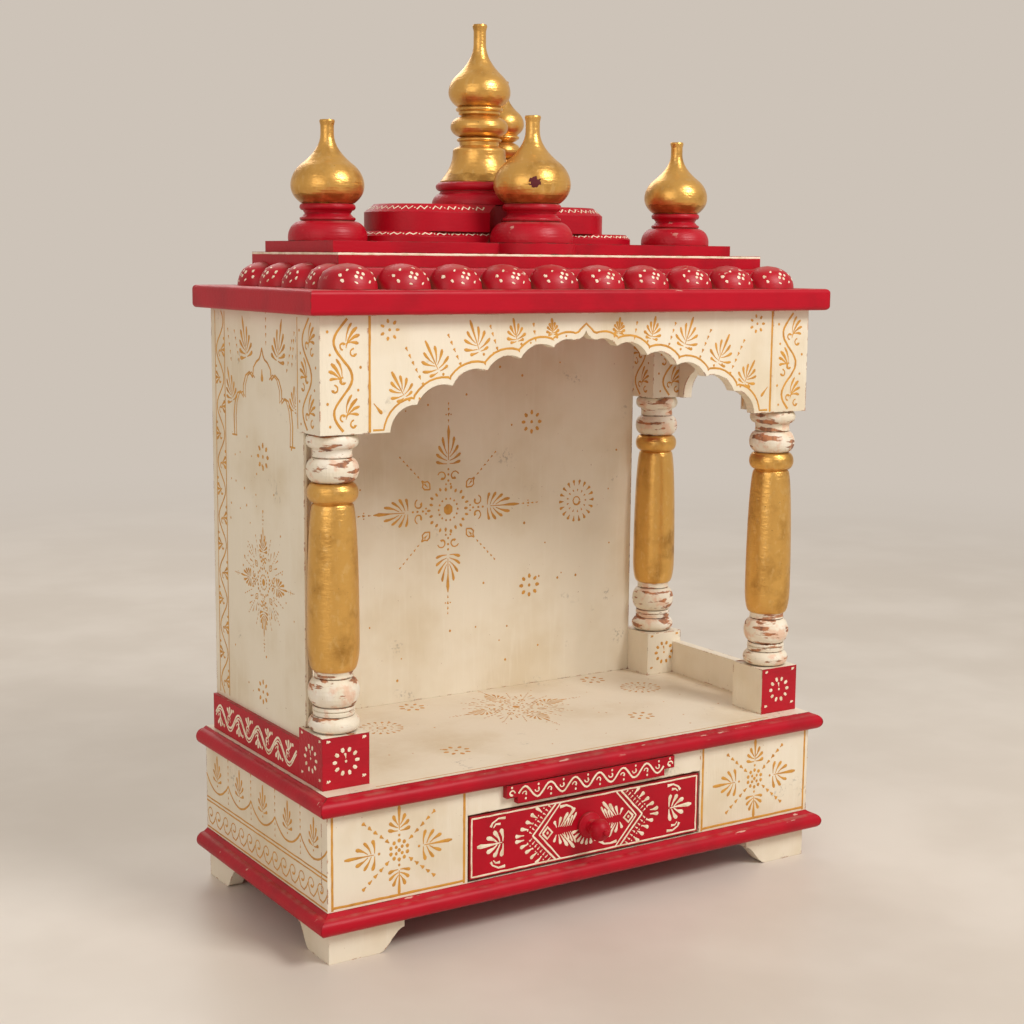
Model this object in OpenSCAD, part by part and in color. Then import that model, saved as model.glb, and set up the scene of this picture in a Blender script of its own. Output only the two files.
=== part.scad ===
// Wooden home temple: a low box base with a drawer, three turned columns, a closed back and left side,
// scalloped arches in front and on the right, and a stepped roof with turned finials.
// Millimetres, +Z up, front towards -Y. Origin on the ground, under the middle of the whole temple.

/* [Overall] */
// Width of the base box, without its mouldings
base_w = 600; // [480:1:760]
// Depth of the base box, without its mouldings
base_d = 290; // [250:1:420]
// Height from the floor board up to the roof slab
shrine_h = 447; // [340:1:620]

/* [Base] */
// Height of the bracket feet
foot_h = 30; // [20:1:60]
// Length of a foot along the front and back
foot_len = 82; // [60:1:110]
// Length of a foot along the sides
foot_side_len = 66; // [50:1:90]
// Thickness of the foot boards
foot_t = 16; // [10:1:24]
// Height of the base walls, from the bottom board to the floor board
wall_h = 108; // [90:1:180]
// Thickness of the base walls
wall_t = 12; // [8:1:18]
// Thickness of the bottom board
bottom_t = 12; // [8:1:18]
// Thickness of the floor board
floor_t = 16; // [10:1:24]
// How far the lower moulding stands out
low_mould_out = 13; // [10:0.5:20]
// How far the upper moulding stands out
up_mould_out = 11.5; // [10:0.5:20]
// Height of the upper moulding
up_mould_h = 19; // [17:0.5:24]
// Radius of the rounded nose of both mouldings
nose_r = 8.5; // [6:0.5:9.5]

/* [Drawer] */
// Width of the drawer front
drawer_w = 287; // [200:1:400]
// Height of the wood between the drawer and the floor board
over_h = 28; // [24:0.5:50]
// Gap between the drawer front and the wood beside, above and below it
drawer_gap = 2.5; // [1.5:0.5:5]
// Space behind the drawer box
drawer_back_gap = 30; // [10:1:60]
// Thickness of the drawer's boards
drawer_t = 8; // [5:1:12]
// How far the drawer slides out
drawer_travel = 180; // [120:1:200]
// Length of the notched plaque over the drawer
plaque_w = 210; // [150:1:260]
// Thickness of the plaque
plaque_t = 7; // [4:1:10]

/* [Shrine] */
// Side of the square column stock
column_s = 50; // [36:1:60]
// Height of the square block at a column's foot
block_h = 51; // [36:1:80]
// Height of the square post at a column's top
post_h = 110; // [90:1:150]
// How far the columns stand back from the front of the base
column_setback = 18; // [10:1:40]
// How far the back panel stands forward of the back of the base
back_setback = 12; // [5:1:40]
// Thickness of the left and back panels
panel_t = 10; // [8:1:16]
// Thickness of the strip along the foot of the left panel
strip_t = 4; // [3:1:10]
// Height of the low rails
rail_h = 38; // [24:1:60]
// Thickness of the arch boards and the right rail
arch_t = 12; // [8:1:18]
// Height of the wood left over the front arch's point
arch_over = 18; // [12:1:30]
// Width of the flat foot of the front arch beside each post
arch_foot = 23; // [15:1:40]

/* [Roof] */
// Thickness of the roof slab
slab_t = 23; // [20:0.5:32]
// How far the roof slab hangs over the columns in front and at the sides
slab_over = 16; // [12:1:30]
// Height of a lotus petal
petal_h = 24; // [16:1:30]
// How many petals stand along the front
petals_front = 10; // [6:1:14]
// How many petals stand along each side
petals_side = 4; // [3:1:7]
// Height of the block behind the petals
bed_h = 20; // [12:1:28]
// Height of the lower roof tier
tier1_h = 14; // [8:1:24]
// Height of the upper roof tier
tier2_h = 11; // [8:1:24]
// Height of the lower, flatter disc
disc1_h = 11; // [8:1:20]
// Height of the upper disc
disc2_h = 28; // [20:1:40]

/* [Finials] */
// Height of the side finials
finial_h = 120; // [90:1:160]
// Height of the tall middle finial
tall_h = 188; // [140:1:240]

/* [Hidden] */
$fn = 96;
eps = 0.01;
seat = 0.3;                         // gap under what slides or stands free
CREAM = "#E9DFC9";
RED = "#B80F2A";
GOLD = "#B5832B";

// heights
bottom_z = foot_h;
wall_z = bottom_z + bottom_t;
floor_z = wall_z + wall_h;
top_z = floor_z + floor_t;          // top of the floor board
slab_z = top_z + shrine_h;
bed_z = slab_z + slab_t;
tier1_z = bed_z + bed_h;
tier2_z = tier1_z + tier1_h;
disc1_z = tier2_z + tier2_h;
disc2_z = disc1_z + disc1_h;
crown_z = disc2_z + disc2_h;

// the base in plan
bx = base_w / 2;
by = base_d / 2;

// the shrine in plan
body_x = bx - 4.5;                  // outer faces of the columns
front_y = -by + column_setback;     // front faces of the columns
back_y = by - back_setback;         // back face of the back panel
col_x = body_x - column_s / 2;
col_front_y = front_y + column_s / 2;
col_back_y = back_y - column_s / 2;
turn_h = shrine_h - block_h - post_h;
turn_z = top_z + block_h;
post_z = turn_z + turn_h;

// the roof in plan
slab_x = body_x + slab_over;
slab_front_y = front_y - slab_over;
slab_back_y = back_y;
slab_round = 4.5;                   // rounding of the roof slab's edges
slab_lip = 10;                      // width of its shaped edge
petal_edge = 11;                    // ledge left in front of the petals
petal_side = 28.5;                    // and at their sides
tier1_side = 43;                    // how far the lower tier stands in from the sides of the base
tier1_front = 56;                   // and from its front
tier2_side = tier1_side + 13;
tier2_front = tier1_front + 36;
tier_back_y = slab_back_y - 28;

// the finials: sizes follow from their heights, and their places from the feet that stand side by side
front_scale = 1.07;                 // front and right finials against the left one
right_scale = 0.94;
foot_r = finial_h * 40 / 120;
front_bulb_r = front_scale * finial_h * 37 / 120;
tall_foot_r = tall_h * 50 / 188;
back_foot_r = 17;
foot_clear = 1;                     // round a finial's foot where a disc is hollowed for it
disc_bevel = 10;
disc2_r = tall_foot_r + disc_bevel;
disc1_r = disc2_r - 3;
side_finial_x = bx - tier2_side - foot_r;
disc1_half = side_finial_x - foot_r;
disc2_half = disc1_half - 25;
roof_y = tier_back_y - disc2_r + 1; // middle of the upper disc
disc_x = -12;                       // the upper disc and the tall finial stand a little left of centre
tall_x = disc_x - 9;
side_finial_y = roof_y - 8;
right_finial_y = side_finial_y - 43; // the right finial stands forward of the left one
front_finial = [tall_x + 9, roof_y - tall_foot_r - front_bulb_r - 0.15];
back_away = tall_foot_r + back_foot_r + 1.6;
back_angle = 36.7;
back_finial = [tall_x + back_away * cos(back_angle), roof_y + back_away * sin(back_angle)];
back_sunk = 16;                     // how deep the back finial's foot stands in the upper disc
bow_r = 46;                         // bow of the upper tier that carries the front finial

// the drawer
sill_h = 10.5;                      // wood under the drawer front
drawer_z = wall_z + sill_h + drawer_gap;
drawer_h = wall_h - sill_h - 2 * drawer_gap - over_h;
drawer_top = drawer_z + drawer_h;
box_inset = 8;                      // drawer box in from the ends of its front
box_lift = 2;                       // drawer box up from the foot of its front
box_drop = 12;                      // and down from its head
box_z = drawer_z + box_lift;
box_h = drawer_h - box_lift - box_drop;
knob_r = 14;
knob_l = 34.5;

// ---- shared shapes ----

// Points along an elliptical arc, from angle a0 to angle a1
function bow(centre, rx, ry, a0, a1, steps = 10) =
    [for (i = [0:steps]) let (a = a0 + (a1 - a0) * i / steps) centre + [rx * cos(a), ry * sin(a)]];

// Points along a hollow curve that starts steep at [x0, y0] and ends upright at [x1, y1]
function sweep_in(x0, y0, x1, y1, steps = 8) =
    [for (i = [0:steps]) let (t = i / steps) [x1 + (x0 - x1) * pow(1 - t, 2), y0 + (y1 - y0) * t]];

// From the base's own middle to the origin, which lies under the middle of the whole temple with its knob
module centred() {
    translate([0, knob_l / 2, 0]) children();
}

// A box given by two opposite corners
module box(a, b) {
    translate(a) cube(b - a);
}

// Half-round nosing on a board edge: section out from the wall face at 0, from height z0 to z1
module nosing(out, z0, z1) {
    polygon([[0, z0], [out - nose_r, z0], [out - nose_r, z0 + 2 * nose_r], [0, z1]]);
    translate([out - nose_r, z0 + nose_r]) circle(nose_r);
}

// The nosing along the front (x from -half to half), mitred at both ends
module front_length(half, y, out) {
    intersection() {
        translate([half + out, y, 0]) rotate([90, 0, -90]) linear_extrude(2 * (half + out)) children();
        translate([0, 0, -eps]) linear_extrude(slab_z + slab_t + 1)
            polygon([[-half, y], [-half - 2 * out, y - 2 * out], [half + 2 * out, y - 2 * out], [half, y]]);
    }
}

// The nosing along the left side, mitred in front and square at the back
module left_length(half, y, back, out) {
    intersection() {
        translate([-half, back, 0]) rotate([90, 0, 0]) linear_extrude(back - y + out)
            mirror([1, 0]) children();
        translate([0, 0, -eps]) linear_extrude(slab_z + slab_t + 1)
            polygon([[-half, y], [-half - 2 * out, y - 2 * out], [-half - 2 * out, back], [-half, back]]);
    }
}

// ---- base ----

// One arm of a bracket foot, cut to an ogee at its inner end
module foot_arm(length) {
    tip = length * 0.66;
    cut_z = foot_h * 0.73;
    translate([0, foot_t, 0]) rotate([90, 0, 0]) linear_extrude(foot_t)
        polygon(concat([[0, 0]],
            [for (i = [0:8]) [tip + (length - tip) * i / 8, cut_z * (1 - cos(180 * i / 8)) / 2]],
            [[length, foot_h], [0, foot_h]]));
}

// A foot at the front left corner: two arms that meet in an L
module foot() {
    inset = 2;
    translate([-bx + inset, -by + inset, 0]) {
        foot_arm(foot_len);
        mirror([1, -1, 0]) foot_arm(foot_side_len);
    }
}

module foot_front_left() { color(CREAM) centred() foot(); }
module foot_front_right() { color(CREAM) centred() mirror([1, 0, 0]) foot(); }
module foot_back_left() { color(CREAM) centred() mirror([0, 1, 0]) foot(); }
module foot_back_right() { color(CREAM) centred() mirror([1, 0, 0]) mirror([0, 1, 0]) foot(); }

module bottom_board() {
    color(RED) centred() box([-bx, -by, bottom_z], [bx, by, wall_z]);
}

module low_nose() { nosing(low_mould_out, bottom_z + 2, wall_z + sill_h); }
module up_nose() { nosing(up_mould_out, top_z - up_mould_h, top_z); }

module lower_moulding_front() {
    color(RED) centred() front_length(bx, -by, low_mould_out) low_nose();
}
module lower_moulding_left() {
    color(RED) centred() left_length(bx, -by, by, low_mould_out) low_nose();
}
module lower_moulding_right() {
    color(RED) centred() mirror([1, 0, 0]) left_length(bx, -by, by, low_mould_out) low_nose();
}
module upper_moulding_front() {
    color(RED) centred() front_length(bx, -by, up_mould_out) up_nose();
}
module upper_moulding_left() {
    color(RED) centred() left_length(bx, -by, by, up_mould_out) up_nose();
}
module upper_moulding_right() {
    color(RED) centred() mirror([1, 0, 0]) left_length(bx, -by, by, up_mould_out) up_nose();
}

hole_x = drawer_w / 2 + drawer_gap;  // half width of the drawer's opening

module base_front_left() {
    color(CREAM) centred() box([-bx, -by, wall_z], [-hole_x, -by + wall_t, floor_z]);
}
module base_front_right() {
    color(CREAM) centred() box([hole_x, -by, wall_z], [bx, -by + wall_t, floor_z]);
}

// The strips over and under the drawer
module drawer_surround() {
    color(CREAM) centred() {
        box([-hole_x, -by, drawer_top + drawer_gap], [hole_x, -by + wall_t, floor_z]);
        box([-hole_x, -by, wall_z], [hole_x, -by + wall_t, wall_z + sill_h]);
    }
}

// A red board under the upper moulding, with a notch at each end
module plaque() {
    top = top_z - up_mould_h;
    notch = [13, 7];
    low = drawer_top + drawer_gap + 5;
    color(RED) centred() difference() {
        box([-plaque_w / 2, -by - plaque_t, low], [plaque_w / 2, -by, top]);
        for (side = [-1, 1]) translate([side * plaque_w / 2, -by - plaque_t / 2, low])
            cube([2 * notch[0], plaque_t + 1, 2 * notch[1]], center = true);
    }
}

module base_left() {
    color(CREAM) centred() box([-bx, -by + wall_t, wall_z], [-bx + wall_t, by, floor_z]);
}
module base_right() {
    color(CREAM) centred() box([bx - wall_t, -by + wall_t, wall_z], [bx, by, floor_z]);
}
module base_back() {
    color(CREAM) centred() box([-bx + wall_t, by - wall_t, wall_z], [bx - wall_t, by, floor_z]);
}

// Two strips on the bottom board that the drawer slides on
module drawer_runners() {
    outer = drawer_w / 2 - box_inset;
    color(CREAM) centred() for (side = [0, 1]) mirror([side, 0, 0])
        box([outer - drawer_t - 4, -by + wall_t, wall_z], [outer, by - wall_t, box_z - seat]);
}

module floor_board() {
    color(CREAM) centred() box([-bx, -by, floor_z], [bx, by, top_z]);
}

// ---- drawer ----

box_back_y = by - wall_t - drawer_back_gap;

module drawer_front() {
    color(RED) centred() box([-drawer_w / 2, -by, drawer_z], [drawer_w / 2, -by + wall_t, drawer_top]);
}
module drawer_sides() {
    outer = drawer_w / 2 - box_inset;
    color(CREAM) centred() for (side = [0, 1]) mirror([side, 0, 0])
        box([outer - drawer_t, -by + wall_t, box_z], [outer, box_back_y, box_z + box_h]);
}
module drawer_back() {
    inner = drawer_w / 2 - box_inset - drawer_t;
    color(CREAM) centred() box([-inner, box_back_y - drawer_t, box_z], [inner, box_back_y, box_z + box_h]);
}
module drawer_bottom() {
    inner = drawer_w / 2 - box_inset - drawer_t;
    color(CREAM) centred() box([-inner, -by + wall_t, box_z], [inner, box_back_y - drawer_t, box_z + 5]);
}

// Turned knob: a flange against the front, a neck and a ball with a button
module drawer_knob() {
    color(RED) centred() translate([0, -by, (drawer_z + drawer_top) / 2]) rotate([90, 0, 0]) rotate_extrude()
        polygon(concat([[0, 0]], bow([knob_r - 2, 2], 2, 2, -90, 90, 6), [[knob_r * 0.55, 6], [7, 9]],
            bow([0, 20], 11.5, 11, -55, 72, 12), [[3.5, 32.5], [2.5, knob_l - 0.5], [0, knob_l]]));
}

// ---- columns, panels and arches ----

// Outline of the turned part of a column, from its block (0) to its post (h)
function column_outline(r, h) =
    let (k = h / 286, waist = 0.76 * r)
    concat([[0, 0]],
        bow([r - 8, 8 * k], 8, 8 * k, -90, 90),
        [[0.8 * r, 16.5 * k], [0.82 * r, 20 * k], [0.76 * r, 21 * k], [0.82 * r, 22 * k], [0.8 * r, 25 * k]],
        bow([r - 9, 39 * k], 9, 14 * k, -90, 90),
        [[waist, 53.5 * k], [0.74 * r, 56 * k], [waist, 59 * k]],
        bow([0.8 * r, 87 * k], 0.2 * r, 27 * k, -80, 0, 6),
        bow([0.76 * r, 87 * k], 0.24 * r, 132 * k, 12, 84, 10),
        bow([r - 7, 230 * k], 6.5, 9.5 * k, -90, 90),
        bow([r - 8, 251.5 * k], 8, 11.5 * k, -90, 90),
        [[waist, 264 * k], [0.74 * r, 268 * k], [waist, 272 * k]],
        bow([r - 6, 279 * k], 6, 7 * k, -80, 80),
        [[r - 6, h], [0, h]]);

// Square block, turned middle and square post from one length of wood
module column(x, y) {
    translate([x, y, 0]) {
        box([-column_s / 2, -column_s / 2, top_z], [column_s / 2, column_s / 2, turn_z]);
        translate([0, 0, turn_z]) rotate_extrude() polygon(column_outline(column_s / 2, turn_h));
        box([-column_s / 2, -column_s / 2, post_z], [column_s / 2, column_s / 2, slab_z]);
    }
}
module column_front_left() { color(GOLD) centred() column(-col_x, col_front_y); }
module column_front_right() { color(GOLD) centred() column(col_x, col_front_y); }
module column_back_right() { color(GOLD) centred() column(col_x, col_back_y); }

behind_post_y = front_y + column_s;

// Closed left side: it runs up to the front column and is hollowed along it
module left_panel() {
    x0 = -body_x + strip_t;
    lip = 7;
    color(CREAM) centred() {
        difference() {
            union() {
                box([x0, behind_post_y, top_z], [x0 + panel_t, back_y, slab_z]);
                box([x0, behind_post_y - lip, turn_z + 0.5], [x0 + panel_t, behind_post_y + 1, post_z - 0.5]);
            }
            translate([-col_x, col_front_y, turn_z]) cylinder(r = column_s / 2 + 0.4, h = turn_h);
        }
    }
}
module left_strip() {
    color(RED) centred() box([-body_x, behind_post_y, top_z], [-body_x + strip_t, back_y, top_z + rail_h]);
}
module back_panel() {
    color(CREAM) centred()
        box([-body_x + strip_t + panel_t, back_y - panel_t, top_z], [col_x - column_s / 2, back_y, slab_z]);
}
module right_rail() {
    color(CREAM) centred()
        box([body_x - arch_t, behind_post_y, top_z], [body_x, col_back_y - column_s / 2, top_z + rail_h]);
}

// Cusps of one half of a scalloped arch, from the springing in to the point
function cusp(i, lobes, half, rise, point) =
    let (u = (i - 0.25) / (lobes - 0.25), last = (lobes - 1.25) / (lobes - 0.25))
    i == 0 ? [half, 0] : i == lobes ? [0, rise + point] : [half * (1 - u), rise * pow(u / last, 0.6)];

// Points of a round lobe over the stretch from cusp a to cusp b, without a itself
function lobe(a, b, lift, steps = 8) =
    let (chord = norm(b - a), r = (chord * chord / 4 + lift * lift) / (2 * lift),
        out = [b[1] - a[1], a[0] - b[0]] / chord, c = (a + b) / 2 - out * (r - lift),
        from = atan2(a[1] - c[1], a[0] - c[0]), sweep = 2 * asin(chord / 2 / r))
    [for (i = [1:steps]) c + r * [cos(from + sweep * i / steps), sin(from + sweep * i / steps)]];

// The last stretch: a small lobe, then a hollow sweep up to the point
function ogee(a, tip, bulge) =
    let (mid = [0.36 * a[0], a[1] + 0.42 * (tip[1] - a[1])], back = lobe(tip, mid, bulge / 3, 6))
    concat(lobe(a, mid, bulge / 2), [for (i = [len(back) - 2:-1:0]) back[i]], [tip]);

// Outline of the right half of an arch's opening, from its springing to its point
function arch_outline(lobes, half, rise, point, bulge) = concat(
    [for (i = [0:lobes - 2], p = lobe(cusp(i, lobes, half, rise, point), cusp(i + 1, lobes, half, rise, point),
        bulge)) p],
    ogee(cusp(lobes - 1, lobes, half, rise, point), [0, rise + point], bulge));

// An arch board of the height of the posts, with its scalloped opening
module arch_board(span, foot, lobes, rise, point, bulge) {
    half = span / 2 - foot;
    right = arch_outline(lobes, half, rise, point, bulge);
    left = [for (i = [len(right) - 2:-1:0]) [-right[i][0], right[i][1]]];
    difference() {
        translate([-span / 2, 0]) square([span, post_h]);
        polygon(concat([[-half, 0], [-half, -1], [half, -1], [half, 0]], right, left));
    }
}

arch_point = 16;                    // height of the point over the lobes
arch_rise = post_h - arch_over - arch_point;

module front_arch() {
    span = 2 * (col_x - column_s / 2);
    color(CREAM) centred() translate([0, front_y + arch_t, post_z]) rotate([90, 0, 0]) linear_extrude(arch_t)
        arch_board(span, arch_foot, 6, arch_rise, arch_point, 8);
}
module right_arch() {
    y0 = behind_post_y;
    y1 = col_back_y - column_s / 2;
    color(CREAM) centred()
        translate([body_x - arch_t, (y0 + y1) / 2, post_z]) rotate([90, 0, 90]) linear_extrude(arch_t)
        arch_board(y1 - y0, 10, 3, arch_rise * 0.7, 10, 6);
}

// ---- roof ----

// Rounded edge of the roof slab, over its whole thickness
module slab_nose() {
    out = slab_lip;
    for (z = [slab_z + slab_round, bed_z - slab_round]) translate([out - slab_round, z]) circle(slab_round);
    polygon([[0, slab_z], [out - slab_round, slab_z], [out - slab_round, bed_z], [0, bed_z]]);
    polygon([[0, slab_z + slab_round], [out, slab_z + slab_round], [out, bed_z - slab_round], [0, bed_z - slab_round]]);
}

module roof_slab() {
    half = slab_x - slab_lip;
    y = slab_front_y + slab_lip;
    color(RED) centred() {
        box([-half, y, slab_z], [half, slab_back_y, bed_z]);
        front_length(half, y, slab_lip) slab_nose();
        left_length(half, y, slab_back_y, slab_lip) slab_nose();
        mirror([1, 0, 0]) left_length(half, y, slab_back_y, slab_lip) slab_nose();
    }
}

// A half dome that fills most of a place w wide; it stands against y = 0 and bulges towards -Y
function petal_r(w) = (pow(0.49 * w, 2) + petal_h * petal_h) / (2 * petal_h);
module petal(w) {
    r = petal_r(w);
    intersection() {
        translate([0, 0, petal_h - r]) sphere(r);
        translate([-w / 2, -r - 1, 0]) cube([w, r + 1 + eps, petal_h + 1]);
    }
}

// The block behind the petals, with half-dome petals on its front and sides
module petal_ring() {
    front_w = 2 * (slab_x - petal_side) / petals_front;
    bed_front = slab_front_y + petal_edge + petal_r(front_w);
    bed_back = tier_back_y - 1;
    side_w = (bed_back - bed_front) / petals_side;
    bed_x = slab_x - petal_side - petal_r(side_w);
    color(RED) centred() translate([0, 0, bed_z]) {
        box([-bed_x, bed_front, 0], [bed_x, bed_back, bed_h]);
        for (i = [0:petals_front - 1])
            translate([(i - (petals_front - 1) / 2) * front_w, bed_front, 0]) petal(front_w);
        for (side = [0, 1], i = [0:petals_side - 1]) mirror([side, 0, 0])
            translate([-bed_x, bed_front + (i + 0.5) * side_w, 0]) rotate([0, 0, -90]) petal(side_w);
    }
}

module lower_tier() {
    color(RED) centred()
        box([-bx + tier1_side, -by + tier1_front, tier1_z], [bx - tier1_side, tier_back_y, tier2_z]);
}

// The upper tier has a round bow in front that carries the front finial
module upper_tier() {
    color(RED) centred() {
        box([-bx + tier2_side, -by + tier2_front, tier2_z], [bx - tier2_side, tier_back_y - 4, disc1_z]);
        translate([front_finial[0], front_finial[1], tier2_z]) cylinder(r = bow_r, h = tier2_h);
    }
}

// A long disc with half-round ends: straight edge, then a bevel up to its flat top
module disc(half, r, edge_h, bevel, h) {
    reach = half - r;
    top_r = r - bevel;
    for (side = [-1, 1]) translate([side * reach, 0, 0]) {
        cylinder(r = r, h = edge_h);
        translate([0, 0, edge_h]) cylinder(r1 = r, r2 = top_r, h = h - edge_h);
    }
    translate([-reach, 0, 0]) rotate([90, 0, 90]) linear_extrude(2 * reach)
        polygon([[-r, 0], [r, 0], [r, edge_h], [top_r, h], [-top_r, h], [-r, edge_h]]);
}

// Room for the front finial's foot in both discs
module front_foot_room(h) {
    translate([front_finial[0], front_finial[1], -1]) cylinder(r = front_scale * foot_r + foot_clear, h = h + 2);
}

module lower_disc() {
    color(RED) centred() translate([0, 0, disc1_z]) difference() {
        translate([0, roof_y - 3, 0]) disc(disc1_half, disc1_r, disc1_h * 0.55, disc_bevel / 2, disc1_h);
        front_foot_room(disc1_h);
    }
}
module upper_disc() {
    color(RED) centred() translate([0, 0, disc2_z]) difference() {
        translate([disc_x, roof_y, 0]) disc(disc2_half, disc2_r, disc2_h * 0.7, disc_bevel, disc2_h);
        front_foot_room(disc2_h);
        translate([back_finial[0], back_finial[1], disc2_h - back_sunk])
            cylinder(r = back_foot_r + seat, h = back_sunk + 4);
    }
}

// Outline of a side finial: domed foot, two rings, a bulb and a long neck with a flared end
function finial_outline(h) =
    let (k = h / 120)
    k * concat([[0, 0]],
        bow([26, 3.6], 14, 16.6, -12, 90),
        bow([26, 22.2], 2.2, 2, -90, 90, 6), [[23, 27.5]],
        bow([25, 34], 3.2, 3.4, -90, 90, 8),
        bow([0, 55], 37, 25, -43, 0, 7), bow([0, 55], 37, 30, 6, 40, 6),
        sweep_in(27.6, 75, 6.8, 106), [[6.8, 114], [7.8, 118.5], [7.2, 120], [0, 120]]);

// Outline of the tall finial: domed foot, ring, bell, two bulbs with rings between, and a long neck
function tall_outline(h) =
    let (k = h / 188)
    k * concat([[0, 0]],
        bow([34, 2], 16, 13, -8, 60, 8),
        bow([41, 20], 5, 4.5, -90, 90, 8), sweep_in(41.5, 25.5, 28, 56),
        bow([23, 57], 5, 4, 0, 80, 6), [[20.6, 63], [21, 66]],
        bow([21, 69], 2.8, 2, -90, 90, 6),
        bow([14, 82.5], 16.6, 11.5, -75, 75, 12), [[22, 95.5]],
        bow([22, 100.5], 3, 2.4, -90, 90, 6),
        bow([0, 118], 32.8, 21, -42, 0, 7), bow([0, 118], 32.8, 26, 6, 40, 6),
        sweep_in(24.5, 135.4, 6.6, 168), [[6.6, 181], [7.8, 186], [7.2, 188], [0, 188]]);

// Outline of the back finial: plain round foot that stands in the upper disc, then as the tall one
function back_outline(h) =
    let (k = h / 152)
    k * concat([[0, 0], [back_foot_r / k, 0], [back_foot_r / k, 40 / k]], bow([12, 56], 5, 8, 0, 80, 6),
        bow([15, 66], 2.5, 1.5, -90, 90, 6), bow([8, 78], 12, 9, -75, 75, 10), [[15.5, 89]],
        bow([16, 92], 2.6, 2, -90, 90, 6), bow([0, 106], 23.5, 15, -42, 0, 7), bow([0, 106], 23.5, 19, 6, 40, 6),
        sweep_in(17.6, 118.6, 5.4, 139), [[5.4, 146], [6.4, 150.5], [6, 152], [0, 152]]);

module side_finial(h) { rotate_extrude() polygon(finial_outline(h)); }

module finial_left() {
    color(GOLD) centred() translate([-side_finial_x, side_finial_y, disc1_z]) side_finial(finial_h);
}
module finial_right() {
    color(GOLD) centred() translate([side_finial_x, right_finial_y, disc1_z]) side_finial(finial_h * right_scale);
}
module finial_front() {
    color(GOLD) centred() translate([front_finial[0], front_finial[1], disc1_z]) side_finial(finial_h * front_scale);
}
module finial_middle() {
    color(GOLD) centred() translate([tall_x, roof_y, crown_z]) rotate_extrude() polygon(tall_outline(tall_h));
}
module finial_back() {
    color(GOLD) centred() translate([back_finial[0], back_finial[1], crown_z - back_sunk])
        rotate_extrude() polygon(back_outline(0.81 * tall_h));
}

foot_front_left();
foot_front_right();
foot_back_left();
foot_back_right();
bottom_board();
lower_moulding_front();
lower_moulding_left();
lower_moulding_right();
base_front_left();
base_front_right();
drawer_surround();
plaque();
base_left();
base_right();
base_back();
drawer_runners();
upper_moulding_front();
upper_moulding_left();
upper_moulding_right();
floor_board();
column_front_left();
column_front_right();
column_back_right();
left_panel();
back_panel();
left_strip();
right_rail();
front_arch();
right_arch();
roof_slab();
petal_ring();
lower_tier();
upper_tier();
lower_disc();
upper_disc();
finial_left();
finial_right();
finial_front();
finial_back();
finial_middle();
drawer_front();
drawer_sides();
drawer_back();
drawer_bottom();
drawer_knob();
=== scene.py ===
import math
import random

import bpy
from bpy.props import FloatProperty, FloatVectorProperty, IntProperty, PointerProperty
from mathutils import Matrix, Vector


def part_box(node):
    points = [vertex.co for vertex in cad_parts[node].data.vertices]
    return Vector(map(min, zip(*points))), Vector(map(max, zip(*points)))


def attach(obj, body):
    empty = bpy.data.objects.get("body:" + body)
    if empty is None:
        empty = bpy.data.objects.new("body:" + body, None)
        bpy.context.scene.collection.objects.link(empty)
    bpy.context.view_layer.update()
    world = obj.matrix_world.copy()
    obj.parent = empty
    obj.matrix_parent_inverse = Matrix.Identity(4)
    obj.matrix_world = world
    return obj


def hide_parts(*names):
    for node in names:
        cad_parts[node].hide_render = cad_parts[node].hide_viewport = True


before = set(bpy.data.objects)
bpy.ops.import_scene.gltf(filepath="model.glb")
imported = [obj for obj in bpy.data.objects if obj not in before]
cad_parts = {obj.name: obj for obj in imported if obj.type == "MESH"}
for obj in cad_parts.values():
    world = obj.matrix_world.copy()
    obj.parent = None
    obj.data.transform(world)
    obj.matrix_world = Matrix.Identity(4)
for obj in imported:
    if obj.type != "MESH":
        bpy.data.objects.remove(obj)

bl_info = {
    "name": "Painted Home Temple",
    "version": (1, 0, 0),
    "blender": (4, 5, 0),
    "location": "3D View > Sidebar > Temple",
    "description": "Paint, brushwork and studio for the wooden home temple",
    "category": "Object",
}

MM = 0.001
RIGHT, BACK, UP = Vector((1, 0, 0)), Vector((0, 1, 0)), Vector((0, 0, 1))
FRONT, LEFT = -BACK, -RIGHT
TEMPLE, DRAWER = "temple", "drawer"
CREAM_SLOT, RED_SLOT, GOLD_SLOT = "cream_painted_wood", "red_painted_wood", "gold_painted_wood"


def linear(code):
    """The linear colour of an sRGB hex code."""
    parts = [int(code[i:i + 2], 16) / 255 for i in (0, 2, 4)]
    return tuple(p / 12.92 if p <= 0.04045 else ((p + 0.055) / 1.055) ** 2.4 for p in parts)


def low(name):
    """Lowest corner of a CAD node, in mm."""
    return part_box(name)[0] / MM


def high(name):
    """Highest corner of a CAD node, in mm."""
    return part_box(name)[1] / MM


# ---- properties ----

def colour_of(name, description, code):
    return FloatVectorProperty(name=name, description=description, subtype="COLOR", size=3,
                               min=0, max=1, default=linear(code))


class TEMPLE_PG_colours(bpy.types.PropertyGroup):
    cream: colour_of("Cream", "Cream ground coat of the boards", "EBE0CB")
    cream_deep: colour_of("Deep cream", "Cream where hands and smoke have toned it", "D6C4A4")
    red: colour_of("Red", "Red gloss paint of mouldings, roof and drawer", "B4001E")
    red_deep: colour_of("Deep red", "Red where it is thin or shaded", "8C0618")
    gold: colour_of("Gold", "Gold paint of shafts and finials", "DDAB5C")
    gold_deep: colour_of("Old gold", "Brown patina in the gold", "8C5E22")
    ochre: colour_of("Ochre", "Ochre brush lines on the cream boards", "D2973A")
    line: colour_of("Cream line", "Cream brush lines on the red paint", "F3E6CD")
    wood: colour_of("Worn wood", "Bare wood where paint has chipped", "B9703F")
    ground: colour_of("Floor", "Studio floor", "D2C8BC")
    backdrop: colour_of("Backdrop", "Studio backdrop", "CDC3B8")


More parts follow.
